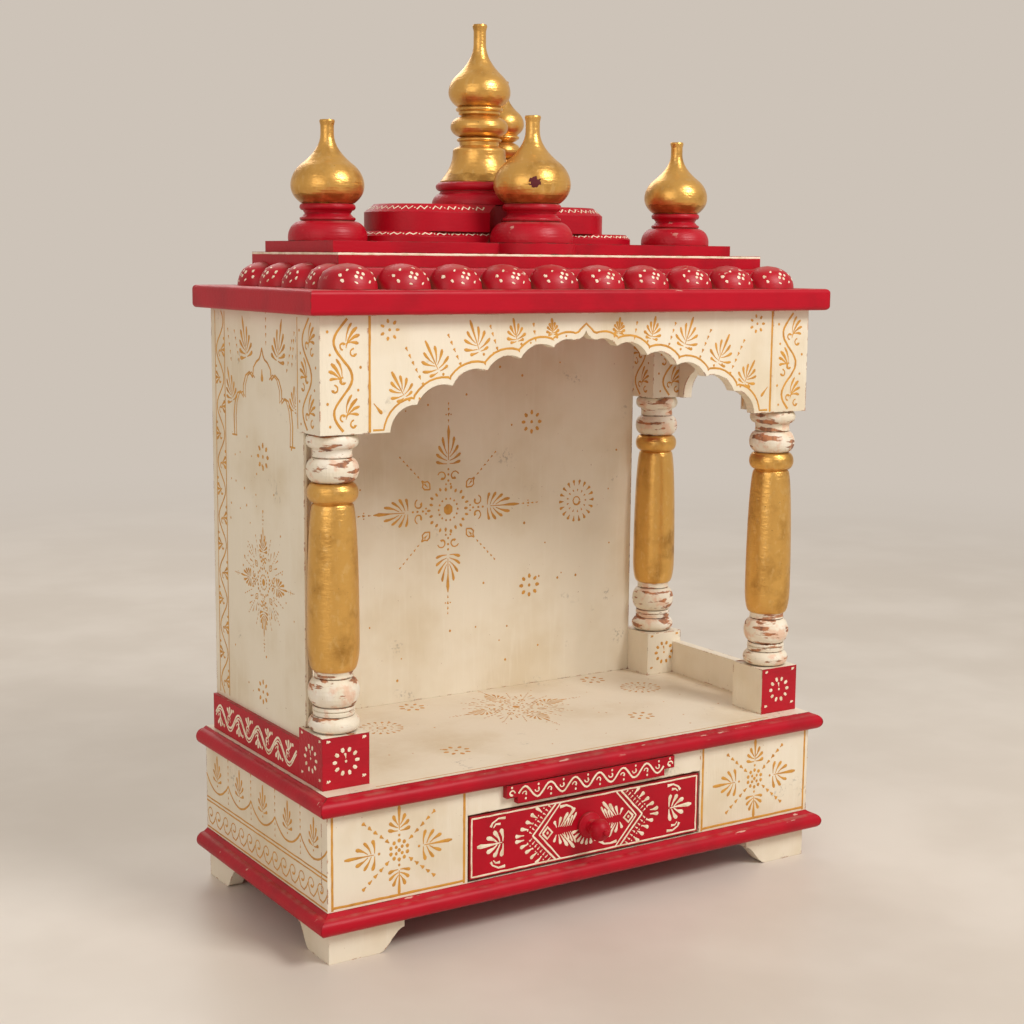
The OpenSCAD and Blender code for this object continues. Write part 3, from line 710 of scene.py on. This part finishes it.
class TEMPLE_OT_floor_brushwork(bpy.types.Operator):
    """Brushwork on the shrine's floor board"""
    bl_idname = "temple.floor_brushwork"
    bl_label = "Floor brushwork"

    def execute(self, context):
        b = Brush(12)
        shift = (low("floor_board").y + high("floor_board").y) / 2
        great_mandala(b, 29, 40, 0.72, True)
        for x, y in ((175, 98), (-73, 98), (128, -62), (-117, -74)):
            small_flower(b.at(x, y), 13)
        for x, y in ((203, 40), (-143, 40)):
            double_flower(b.at(x, y), 21)
        b.at(0, 0)
        b.ruled(-245, -139, 245, -139, 0.7)
        for _ in range(30):
            b.dot(b.rng.uniform(-240, 240), b.rng.uniform(-120, 105), b.rng.uniform(0.7, 1.2))
        b.lay("floor_brushwork", flat(Vector((0, shift, high("floor_board").z)), RIGHT, BACK), OCHRE)
        return {"FINISHED"}


class TEMPLE_OT_left_brushwork(bpy.types.Operator):
    """Brushwork on the closed left side: scroll border, painted arch, star and flowers"""
    bl_idname = "temple.left_brushwork"
    bl_label = "Left side brushwork"

    def execute(self, context):
        w = sizes().line_w / MM
        middle = (low("floor_board").y + high("floor_board").y) / 2
        b = Brush(13)
        b.at(-123, 208)
        b.ruled(0, 0, 0, 402, w * 0.7)
        b.ruled(24, 0, 24, 402, w * 0.8)
        b.at(-111, 208, 90)
        scroll(b, 402, 9, 58, w * 0.95, 3)
        great_mandala(b, -10, 344, 0.58, True)
        small_flower(b.at(-8, 470), 12)
        small_flower(b.at(-14, 231), 11)
        for side in (-1, 1):
            b.at(-8, 0, 0, 1, side)
            for out, r in ((0, 0.95), (-5, 0.65)):
                b.line([(68 + out, 486), (69 + out, 506), (66 + out, 520), (60 + out, 529), (52 + out, 531),
                        (45 + out, 526), (45 + out, 538), (39 + out, 548), (30 + out, 552), (22 + out, 547)], w * r)
            b.line([(22, 547), (20, 557), (13, 563), (6, 566), (3, 570), (0, 577)], w * 0.95)
            b.ruled(62, 486, 74, 486, w * 0.8)
        b.at(-8, 552)
        b.dab(0, 4, 0, -8, 3.0)
        for x, z, lean, size in ((-44, 566, 14, 42), (28, 566, -14, 42), (-80, 520, 20, 36), (64, 520, -16, 34)):
            palmette(b.at(x, z, lean, size), r=0.05)
        for x, z, lean in ((-62, 560, 20), (2, 580, 0), (48, 556, -22), (-82, 560, 14), (60, 562, -10)):
            b.at(x, z, lean)
            b.dashes(0, 0, 0, 38, 1.3, 5)
        b.at(0, 0)
        for _ in range(36):
            b.dot(b.rng.uniform(-90, 60), b.rng.uniform(215, 500), b.rng.uniform(0.8, 1.4))
        b.lay("left_brushwork", flat(Vector((low("left_panel").x, middle, 0)), FRONT, UP), OCHRE)
        vine = Brush(14)
        length = high("left_strip").y - low("left_strip").y
        vine.at(6, 0)
        scroll(vine, length - 12, 9.5, 48, 1.15, 3)
        scroll(vine.at(6, -3.4), length - 12, 9.5, 48, 0.8, 0, False)
        origin = Vector((low("left_strip").x, high("left_strip").y, (low("left_strip").z + high("left_strip").z) / 2))
        vine.lay("left_strip_brushwork", flat(origin, FRONT, UP), LINE)
        return {"FINISHED"}


class TEMPLE_OT_column_brushwork(bpy.types.Operator):
    """Flowers on the column blocks and scrolls on the square posts"""
    bl_idname = "temple.column_brushwork"
    bl_label = "Column brushwork"

    def execute(self, context):
        w = sizes().line_w / MM
        for name, cream_faces, seed in (("column_front_left", (), 15), ("column_front_right", ("left",), 16),
                                        ("column_back_right", ("left", "front"), 17)):
            lo, hi = low(name), high(name)
            middle = (lo + hi) / 2
            faces = {"front": flat(Vector((middle.x, lo.y, lo.z)), RIGHT, UP),
                     "left": flat(Vector((lo.x, middle.y, lo.z)), FRONT, UP)}
            for face, surface in faces.items():
                on_cream = face in cream_faces
                if not (on_cream and face == "left"):
                    flower = Brush(seed)
                    block_flower(flower, 0, 26)
                    flower.lay(f"{name}_{face}_flower", surface, OCHRE if on_cream else LINE)
                b = Brush(seed + 20)
                top, foot = hi.z - lo.z - 3, hi.z - lo.z - 107
                b.at(-1, foot, 90)
                scroll(b, top - foot, 9.5, 66, w * 1.15, 0, False)
                b.at(0, 0)
                for z, side in ((foot + 17, 1), (foot + 50, -1), (foot + 83, 1)):
                    for k, (x, up, r) in enumerate(((13.5, 13, 1.6), (16, 6, 1.5), (15, -2, 1.4), (8, 17, 1.3))):
                        b.dab(side * 2, z - 6 + 2 * k, side * x, z + up, w * r, 0.1 * side)
                    b.curl(side * 10, z - 11, 4.4, 90, side * 260, w)
                    b.dot(-side * 17, z + 9, w * 1.3)
                    b.dot(-side * 14.5, z - 12, w * 1.2)
                if face == "left":
                    b.ruled(-21.5, foot, -21.5, top, w * 0.7)
                b.lay(f"{name}_{face}_scroll", surface, OCHRE)
        return {"FINISHED"}


class TEMPLE_OT_arch_brushwork(bpy.types.Operator):
    """Lines and palmettes that follow the scallops of the arches"""
    bl_idname = "temple.arch_brushwork"
    bl_label = "Arch brushwork"

    @staticmethod
    def outline(name, across, face, foot):
        """The scalloped lower edge, read from the board's own mesh, as (across, z) in mm from end to end."""
        found = set()
        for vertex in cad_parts[name].data.vertices:
            p = vertex.co / MM
            if abs(p[1 - across] - face) < 0.05:
                found.add((round(p[across], 2), round(p.z, 2)))
        lo, hi = low(name), high(name)
        middle = (lo[across] + hi[across]) / 2
        inner = [p for p in found if p[1] < hi.z - 1 and lo[across] + 1 < p[0] < hi[across] - 1]
        return sorted(inner, key=lambda p: -math.atan2(p[1] - foot + 400, p[0] - middle)), middle

    @staticmethod
    def offset(points, away):
        """The line that runs a set distance above an edge."""
        made = []
        for i, p in enumerate(points):
            a, c = points[max(i - 1, 0)], points[min(i + 1, len(points) - 1)]
            dx, dy = c[0] - a[0], c[1] - a[1]
            size = math.hypot(dx, dy) or 1
            made.append((p[0] - dy / size * away, p[1] + dx / size * away))
        return made

    def execute(self, context):
        w = sizes().line_w / MM
        lo, hi = low("front_arch"), high("front_arch")
        edge, middle = self.outline("front_arch", 0, lo.y, lo.z)
        b = Brush(31, 0.12)
        rim = self.offset(edge, 7)
        rim = [(x, max(z, lo.z + 3)) for x, z in rim if z < hi.z - 2]
        b.line([(lo.x + 5, lo.z + 3), *rim, (hi.x - 5, lo.z + 3)], w)
        for x in (lo.x + 1.5, hi.x - 1.5):
            b.ruled(x, lo.z + 1, x, hi.z - 1, w * 1.15)
        for side in (-1, 1):
            for x, z, lean, size in ((207, 33, 30, 28), (170, 56, 27, 33), (125, 74, 20, 32), (82, 83, 12, 23),
                                     (40, 89, 6, 16)):
                palmette(b.at(middle + side * x, lo.z + z, side * -lean, size), LEAFY_FAN, 1.6 / size, False)
                b.at(middle + side * (x - 5), lo.z + z - 3)
                b.dot(0, 0, 1.4)
                b.dot(11, 1, 1.1)
            for x, z, lean, count, reach in ((186, 42, 28, 6, 46), (145, 60, 26, 5, 38), (104, 74, 20, 4, 30),
                                             (60, 82, 10, 3, 22)):
                b.at(middle + side * x, lo.z + z, side * -lean)
                b.dashes(0, 0, 0, reach, 1.5, count)
            small_flower(b.at(middle + side * 223, lo.z + 96), 9, 7)
            b.at(middle + side * 240, lo.z + 20)
            b.dab(0, 8, -side * 9, -2, 1.8)
        b.at(0, 0)
        b.lay("front_arch_brushwork", flat(Vector((0, lo.y, 0)), RIGHT, UP), OCHRE)
        lo, hi = low("right_arch"), high("right_arch")
        edge, middle = self.outline("right_arch", 1, hi.x, lo.z)
        b = Brush(32, 0.12)
        b.line([(y, min(z, hi.z - 3)) for y, z in self.offset(edge, 7)], w * 1.2)
        for x, z, size in ((-48, 62, 34), (0, 80, 24), (48, 62, 34)):
            palmette(b.at(middle + x, lo.z + z, -x * 0.4, size), OPEN_FAN, 2.0 / size)
        b.lay("right_arch_brushwork", flat(Vector((hi.x, 0, 0)), BACK, UP), OCHRE)
        return {"FINISHED"}


class TEMPLE_OT_base_brushwork(bpy.types.Operator):
    """Garlands on the sides of the base and framed stars on its front"""
    bl_idname = "temple.base_brushwork"
    bl_label = "Base brushwork"

    def execute(self, context):
        w = sizes().line_w / MM
        lo, hi = low("base_left"), high("base_left")
        front, top = low("base_front_left").y, low("upper_moulding_front").z
        length = hi.y - front
        b = Brush(41)
        garland_side(b, length, top, sizes().garlands, w)
        b.lay("base_left_brushwork", flat(Vector((lo.x, hi.y, 0)), FRONT, UP), OCHRE)
        b = Brush(42)
        garland_side(b, length, top, sizes().garlands, w)
        b.lay("base_right_brushwork", flat(Vector((high("base_right").x, front, 0)), BACK, UP), OCHRE)
        b = Brush(43)
        foot = high("lower_moulding_front").z
        for name, side in (("base_front_left", -1), ("base_front_right", 1)):
            near, far = side * 150, side * 295
            b.at(0, 0)
            b.ruled(near, foot + 1, near, top, w * 1.2)
            b.ruled(far, foot + 1, far, top, w * 1.1)
            b.ruled(min(near, far), foot + 3.5, max(near, far), foot + 3.5, w * 1.2)
            panel_star(b, side * 223, 101)
        b.lay("base_front_brushwork", flat(Vector((0, front, 0)), RIGHT, UP), OCHRE)
        b = Brush(44)
        lo, hi = low("plaque"), high("plaque")
        b.at(lo.x + 14, (lo.z + hi.z) / 2 + 0.5)
        span = hi.x - lo.x - 28
        b.line([(span * i / 72, 6.4 * math.sin(2 * math.pi * 6 * i / 72)) for i in range(73)], 1.0)
        for i in range(12):
            x, side = span * (i + 0.5) / 12, 1 if i % 2 else -1
            b.dot(x + 1, side * 6.2, 1.2)
            b.curl(x, side * 1.2, 3.2, 180, side * 240, 0.8)
        for x in (-8, span + 8):
            b.curl(x, 1, 3.8, 0, 300, 1.0)
            b.dot(x, 7, 1.2)
        b.lay("plaque_brushwork", flat(Vector((0, lo.y, 0)), RIGHT, UP), LINE)
        return {"FINISHED"}


class TEMPLE_OT_drawer_brushwork(bpy.types.Operator):
    """Cream border, chevrons, palmettes and fans on the drawer front"""
    bl_idname = "temple.drawer_brushwork"
    bl_label = "Drawer brushwork"

    def execute(self, context):
        lo, hi = low("drawer_front"), high("drawer_front")
        middle = (lo + hi) / 2
        half, tall = (hi.x - lo.x) / 2, (hi.z - lo.z) / 2
        b = Brush(51, 0.22)
        for x0, z0, x1, z1 in ((-1, -1, 1, -1), (1, -1, 1, 1), (1, 1, -1, 1), (-1, 1, -1, -1)):
            b.ruled(x0 * (half - 2.2), z0 * (tall - 2.2), x1 * (half - 2.2), z1 * (tall - 2.2), 0.85)
        for side in (-1, 1):
            b.at(0, 0, 0, 1, side)
            for inset, r in ((0, 0.95), (6, 0.8)):
                for up in (-1, 1):
                    b.ruled(69 - inset * 1.3, 0, 41 - inset, up * 29.5, r)
            for up in (-1, 1):
                for k in range(8):
                    t = (k + 0.7) / 8.6
                    x, z = 72 - 28 * t, up * 29.5 * t
                    b.dab(x, z, x + 3.4, z + up * 2.6, 0.9)
                    b.dot(x + 5.6, z + up * 4.2, 0.75)
                for k in range(5):
                    t = (k + 0.45) / 5
                    x, z = 82 - 27 * t, up * (27 * t)
                    b.dab(x, z * 0.96, x + 11 - 4 * t, z + up * 6.5 * t, 2.1)
                for k in range(4):
                    b.dab(40 - 2.5 * k, up * 4, 43 - 8.5 * k, up * (11 + 3.4 * k), 1.8)
                    b.dab(30 - 2.5 * k, up * 3, 29 - 4.5 * k, up * (9 + 2.4 * k), 1.3)
                b.line([(102, up * 25), (110, up * 25.5), (117, up * 22), (119, up * 18)], [1.5, 0.9, 0.9, 1.5])
                b.line([(108, up * 20), (113, up * 20), (116, up * 17)], [1.4, 0.8, 0.6])
            b.line([(57, 0), (51, 6), (45, 0), (51, -6), (57, 0)], 1.15)
            b.dot(51, 0, 1.5)
            b.at(side * 104, 0, -side * 90, 31)
            palmette(b, OPEN_FAN, 0.075, False)
        b.at(0, 0)
        b.line([(-36, 25), (-28, 25.5), (-22, 23), (-18, 19)], [1.6, 0.9, 0.9, 1.7])
        b.line([(14, -20), (20, -24), (28, -25), (36, -24)], [1.6, 0.9, 0.9, 1.7])
        for k in range(7):
            a = math.radians(195 + 17 * k)
            b.dab(13 * math.cos(a), 13 * math.sin(a), 21 * math.cos(a), 21 * math.sin(a), 1.9)
        b.lay("drawer_brushwork", flat(Vector((middle.x, lo.y, middle.z)), RIGHT, UP), LINE, DRAWER)
        return {"FINISHED"}


PETALS_FRONT, PETALS_SIDE = 10, 4
PETAL_TALL, BED_TALL = 24.0, 20
FRONT_LEDGE, SIDE_LEDGE = 11.0, 28.5


def petal_places():
    """Middle of the foot, width, depth and outward direction of every lotus petal, in mm."""
    slab_low, slab_high, ring = low("roof_slab"), high("roof_slab"), high("petal_ring")
    foot = low("petal_ring").z

    def depth(width):
        return ((0.49 * width) ** 2 + PETAL_TALL ** 2) / (2 * PETAL_TALL)
    width = 2 * (slab_high.x - SIDE_LEDGE) / PETALS_FRONT
    bed_front = slab_low.y + FRONT_LEDGE + depth(width)
    for i in range(PETALS_FRONT):
        yield Vector(((i - (PETALS_FRONT - 1) / 2) * width, bed_front, foot)), width, depth(width), FRONT
    width = (ring.y - bed_front) / PETALS_SIDE
    x = slab_high.x - SIDE_LEDGE - depth(width)
    for side in (LEFT, RIGHT):
        for i in range(PETALS_SIDE):
            yield Vector((side.x * x, bed_front + (i + 0.5) * width, foot)), width, depth(width), side


class TEMPLE_OT_petals(bpy.types.Operator):
    """Carves the ring of lotus petals on its bed, round the foot of the roof"""
    bl_idname = "temple.petals"
    bl_label = "Lotus petals"

    @staticmethod
    def pillow():
        """A petal at the origin, 2 wide and deep and 1 high: a cube blown towards a ball, cut off at its foot."""
        bpy.ops.mesh.primitive_cube_add(size=2)
        bpy.ops.object.mode_set(mode="EDIT")
        bpy.ops.mesh.select_all(action="SELECT")
        bpy.ops.mesh.subdivide(number_cuts=7)
        bpy.ops.transform.tosphere(value=0.92)
        bpy.ops.mesh.bisect(plane_co=(0, 0, 0), plane_no=(0, 0, 1), use_fill=True, clear_inner=True)
        bpy.ops.object.mode_set(mode="OBJECT")
        petal = bpy.context.object
        reach = [max(v.co[axis] for v in petal.data.vertices) for axis in range(3)]
        petal.scale = [1 / r for r in reach]
        bpy.ops.object.transform_apply(location=False, rotation=False, scale=True)
        return petal

    def execute(self, context):
        bpy.ops.object.select_all(action="DESELECT")
        first, petals, places = self.pillow(), [], list(petal_places())
        for place, width, depth, out in places:
            petal = first.copy()
            petal.data = first.data.copy()
            context.scene.collection.objects.link(petal)
            petal.location = place * MM
            petal.scale = (width * 0.497 * MM, depth * MM, PETAL_TALL * MM)
            petal.rotation_euler = (0, 0, math.atan2(out.y, out.x) + math.pi / 2)
            petals.append(petal)
        bpy.data.objects.remove(first)
        bed_x, bed_front = abs(places[-1][0].x), places[0][0].y
        back, foot = high("petal_ring").y, low("petal_ring").z
        bpy.ops.object.select_all(action="DESELECT")
        middle = Vector((0, (bed_front + back) / 2, foot + BED_TALL / 2))
        bpy.ops.mesh.primitive_cube_add(size=1, location=middle * MM,
                                        scale=Vector((2 * bed_x, back - bed_front, BED_TALL)) * MM)
        bed = context.object
        bpy.ops.object.mode_set(mode="EDIT")
        bpy.ops.mesh.select_all(action="SELECT")
        bpy.ops.mesh.bevel(offset=1.2 * MM, segments=2, affect="EDGES")
        bpy.ops.object.mode_set(mode="OBJECT")
        for petal in petals:
            petal.select_set(True)
        context.view_layer.objects.active = bed
        bpy.ops.object.join()
        bpy.ops.object.transform_apply(location=True, rotation=True, scale=True)
        bpy.ops.object.shade_smooth_by_angle(angle=math.radians(50))
        bed.name = "lotus_petals"
        bed.data.materials.clear()
        bed.data.materials.append(finish_material("carved_red_enamel", carved_red_coat, gloss=0.35))
        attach(bed, TEMPLE)
        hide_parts("petal_ring")
        return {"FINISHED"}


class TEMPLE_OT_roof_brushwork(bpy.types.Operator):
    """Cream dots on the lotus petals, the line along the lower tier and squiggles round the discs"""
    bl_idname = "temple.roof_brushwork"
    bl_label = "Roof brushwork"

    def execute(self, context):
        context.view_layer.update()
        carved = bpy.data.objects["lotus_petals"]
        tilt = math.radians(24)
        for number, (place, width, depth, out) in enumerate(petal_places()):
            b = Brush(60 + number)
            reach = width * 0.33
            for c, s in ring(8, 0.3):
                x, y = reach * c * b.rng.uniform(0.85, 1.1), 8.4 * s * b.rng.uniform(0.85, 1.1)
                b.line([(x * 0.93, y * 0.93), (x, y), (x * 1.06, y * 1.09)], [1.2, 1.9, 1.3])
            for x, y in ((-4.5, 1.2), (0.8, 2.6), (3.5, -1.6), (-1.5, -3.0)):
                b.dot(x, y, b.rng.uniform(1.4, 1.9))
            across = out.cross(UP)
            aim = out * math.cos(tilt) + UP * math.sin(tilt)
            rise = UP * math.cos(tilt) - out * math.sin(tilt)
            heart = place + UP * 3

            def dome(u, v, h, heart=heart, across=across, aim=aim, rise=rise):
                """The point of the carved petal straight under a point of the brush's plane."""
                start = heart + aim * 40 + across * u + rise * v
                hit, point, normal, _ = carved.ray_cast(start * MM, -aim)
                return point / MM + normal * h if hit else heart
            b.lay(f"petal_dots_{number + 1:02d}", dome, LINE)
        lo, hi = low("lower_tier"), high("lower_tier")
        b = Brush(90, 0.08)
        b.ruled(lo.x, hi.z - 1.4, hi.x, hi.z - 1.4, 1.0)
        b.lay("tier_front_line", flat(Vector((0, lo.y, 0)), RIGHT, UP), LINE)
        b = Brush(91, 0.08)
        b.ruled(-hi.y, hi.z - 1.4, -lo.y, hi.z - 1.4, 1.0)
        b.lay("tier_left_line", flat(Vector((lo.x, 0, 0)), FRONT, UP), LINE)
        self.rims()
        return {"FINISHED"}

    @staticmethod
    def rims():
        """Squiggles on the sloping rims of the two discs."""
        # name, height of the upright edge, how far the slope leans in, seed
        for name, edge, slope, seed in (("lower_disc", 6.05, 5.0, 92), ("upper_disc", 19.6, 10.0, 93)):
            lo, hi = low(name), high(name)
            r = (hi.y - lo.y) / 2
            middle, reach = (lo + hi) / 2, (hi.x - lo.x) / 2 - r
            rise = hi.z - lo.z - edge
            flat_part, turn_part = 2 * reach, math.pi * r
            whole = 2 * (flat_part + turn_part)

            def rim(u, v, h):
                """u runs round the rim from the middle of the front, anticlockwise; v up the slope, 0 to 1."""
                u = (u + reach) % whole
                in_by = r - slope * v
                if u < flat_part:
                    way, base = FRONT, Vector((middle.x - reach + u, middle.y, 0))
                elif u < flat_part + turn_part:
                    a = (u - flat_part) / r - math.pi / 2
                    way, base = Vector((math.cos(a), math.sin(a), 0)), Vector((middle.x + reach, middle.y, 0))
                elif u < 2 * flat_part + turn_part:
                    way, base = BACK, Vector((middle.x + reach - (u - flat_part - turn_part), middle.y, 0))
                else:
                    a = (u - 2 * flat_part - turn_part) / r + math.pi / 2
                    way, base = Vector((math.cos(a), math.sin(a), 0)), Vector((middle.x - reach, middle.y, 0))
                out = (way * rise + UP * slope).normalized()
                return base + way * in_by + UP * (lo.z + edge + rise * v) + out * h

            slant = math.hypot(rise, slope)
            b, pitch = Brush(seed, 0.1), 17
            for i in range(int(whole / pitch)):
                x = i * pitch
                b.line([(x, 0.3 * slant), (x + 4, 0.7 * slant), (x + 8, 0.35 * slant), (x + 12, 0.7 * slant)], 0.75)
                b.dot(x + 14.5, 0.5 * slant, 0.9)
            # the front finial stands in a hollow of the rims, so no stroke is laid within this of its axis
            axis, clear = (low("finial_front") + high("finial_front")) / 2, 50
            b.strokes = [stroke for stroke in b.strokes
                         if (rim(stroke[0][0], stroke[0][1] / slant, 0) - axis).xy.length > clear]
            b.lay(f"{name}_brushwork", lambda u, v, h: rim(u, v / slant, h), LINE)


CAMERA_PLACE = Vector((-0.9867, -1.51585, 0.6663))
CAMERA_TURNS = (32.64, -8.46, 0.54)    # to the right, up and clockwise, in degrees
CAMERA_LENS = 60.1
FADE_FROM, FADE_TO = 1.3, 3.6          # where the floor turns into the backdrop, in metres
# name, place, size, share of the lamp power and colour
LAMPS = (("key", (0.9, -2.3, 2.6), 1.1, 1.15, (1, 0.985, 0.96)),
         ("fill", (-2.8, -1.6, 1.6), 2.2, 0.34, (1, 0.93, 0.85)),
         ("rim", (0.6, 2.6, 2.4), 1.8, 0.4, (1, 0.985, 0.96)))
AIM = Vector((0, 0, 0.45))


class TEMPLE_OT_studio(bpy.types.Operator):
    """Floor, lamps, world and camera"""
    bl_idname = "temple.studio"
    bl_label = "Studio"

    def execute(self, context):
        bpy.ops.object.select_all(action="DESELECT")
        bpy.ops.mesh.primitive_circle_add(vertices=96, radius=14, fill_type="NGON", location=(0, 0, 0))
        floor = context.object
        floor.name = "studio_floor"
        material = bpy.data.materials.new("studio_floor")
        material.use_nodes = True
        tree = material.node_tree
        shader = tree.nodes["Principled BSDF"]
        shader.inputs["Roughness"].default_value = 0.38
        tone = step(tree, cloud(tree, 300, 4), 0.35, 0.7)
        colour = blend(tree, tone, tuple(colours().ground), linear("DCD3C8"))
        tree.links.new(colour, shader.inputs["Base Color"])
        far = add(tree, "ShaderNodeVectorMath", None, {0: spot(tree, "all")}, operation="LENGTH").outputs["Value"]
        glow = add(tree, "ShaderNodeEmission", {"Color": rgba(colours().backdrop), "Strength": 1.0})
        fade = add(tree, "ShaderNodeMixShader", None,
                   {0: step(tree, far, FADE_FROM, FADE_TO), 1: shader.outputs[0], 2: glow.outputs[0]})
        tree.links.new(fade.outputs[0], tree.nodes["Material Output"].inputs["Surface"])
        floor.data.materials.append(material)
        self.world()
        self.lamps(context)
        self.camera(context)
        context.scene.view_settings.view_transform = "Standard"
        return {"FINISHED"}

    @staticmethod
    def world():
        world = bpy.context.scene.world or bpy.data.worlds.new("studio")
        bpy.context.scene.world = world
        world.use_nodes = True
        tree = world.node_tree
        tree.nodes.clear()
        path = add(tree, "ShaderNodeLightPath")
        seen = math_of(tree, "MAXIMUM", math_of(tree, "MAXIMUM", path.outputs["Is Camera Ray"],
                                                path.outputs["Is Glossy Ray"]),
                       path.outputs["Is Transmission Ray"])
        soft = add(tree, "ShaderNodeBackground", {"Color": (1, 0.94, 0.87, 1), "Strength": 0.5})
        shown = add(tree, "ShaderNodeBackground", {"Color": rgba(colours().backdrop), "Strength": 1.0})
        both = add(tree, "ShaderNodeMixShader", None, {0: seen, 1: soft.outputs[0], 2: shown.outputs[0]})
        add(tree, "ShaderNodeOutputWorld", None, {"Surface": both.outputs[0]})

    @staticmethod
    def lamps(context):
        for name, place, size, share, colour in LAMPS:
            lamp = bpy.data.lights.new(name, "AREA")
            lamp.shape, lamp.size, lamp.energy, lamp.color = "SQUARE", size, sizes().lamp * share, colour
            made = bpy.data.objects.new(name, lamp)
            context.scene.collection.objects.link(made)
            made.location = place
            made.rotation_euler = (AIM - Vector(place)).to_track_quat("-Z", "Y").to_euler()

    @staticmethod
    def camera(context):
        yaw, pitch, roll = (math.radians(angle) for angle in CAMERA_TURNS)
        ahead = Vector((math.sin(yaw) * math.cos(pitch), math.cos(yaw) * math.cos(pitch), math.sin(pitch)))
        right = Vector((math.cos(yaw), -math.sin(yaw), 0))
        up = right.cross(ahead)
        x = right * math.cos(roll) + up * math.sin(roll)
        y = up * math.cos(roll) - right * math.sin(roll)
        lens = bpy.data.cameras.new("camera")
        lens.lens, lens.sensor_width = CAMERA_LENS, 36
        made = bpy.data.objects.new("camera", lens)
        context.scene.collection.objects.link(made)
        turned = Matrix((x, y, -ahead)).transposed()
        made.matrix_world = Matrix.Translation(CAMERA_PLACE) @ turned.to_4x4()
        context.scene.camera = made


PIECES = (TEMPLE_OT_board_paint, TEMPLE_OT_turned_paint, TEMPLE_OT_back_brushwork, TEMPLE_OT_floor_brushwork,
          TEMPLE_OT_left_brushwork, TEMPLE_OT_column_brushwork, TEMPLE_OT_arch_brushwork,
          TEMPLE_OT_base_brushwork, TEMPLE_OT_drawer_brushwork, TEMPLE_OT_petals, TEMPLE_OT_roof_brushwork,
          TEMPLE_OT_studio)


class TEMPLE_PT_panel(bpy.types.Panel):
    """Lists the temple's paint, brushwork and studio"""
    bl_idname = "TEMPLE_PT_panel"
    bl_label = "Home temple"
    bl_space_type = "VIEW_3D"
    bl_region_type = "UI"
    bl_category = "Temple"

    def draw(self, context):
        for piece in PIECES:
            self.layout.operator(piece.bl_idname)
        for group in (context.scene.temple_colours, context.scene.temple_sizes):
            for name in group.__annotations__:
                self.layout.prop(group, name)


CLASSES = (TEMPLE_PG_colours, TEMPLE_PG_sizes, *PIECES, TEMPLE_PT_panel)


def register():
    for cls in CLASSES:
        bpy.utils.register_class(cls)
    bpy.types.Scene.temple_colours = PointerProperty(type=TEMPLE_PG_colours)
    bpy.types.Scene.temple_sizes = PointerProperty(type=TEMPLE_PG_sizes)


def unregister():
    del bpy.types.Scene.temple_colours
    del bpy.types.Scene.temple_sizes
    for cls in reversed(CLASSES):
        bpy.utils.unregister_class(cls)


def main():
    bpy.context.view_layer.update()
    register()
    for piece in PIECES:
        group, name = piece.bl_idname.split(".")
        getattr(getattr(bpy.ops, group), name)()


if __name__ == "__main__":
    main()
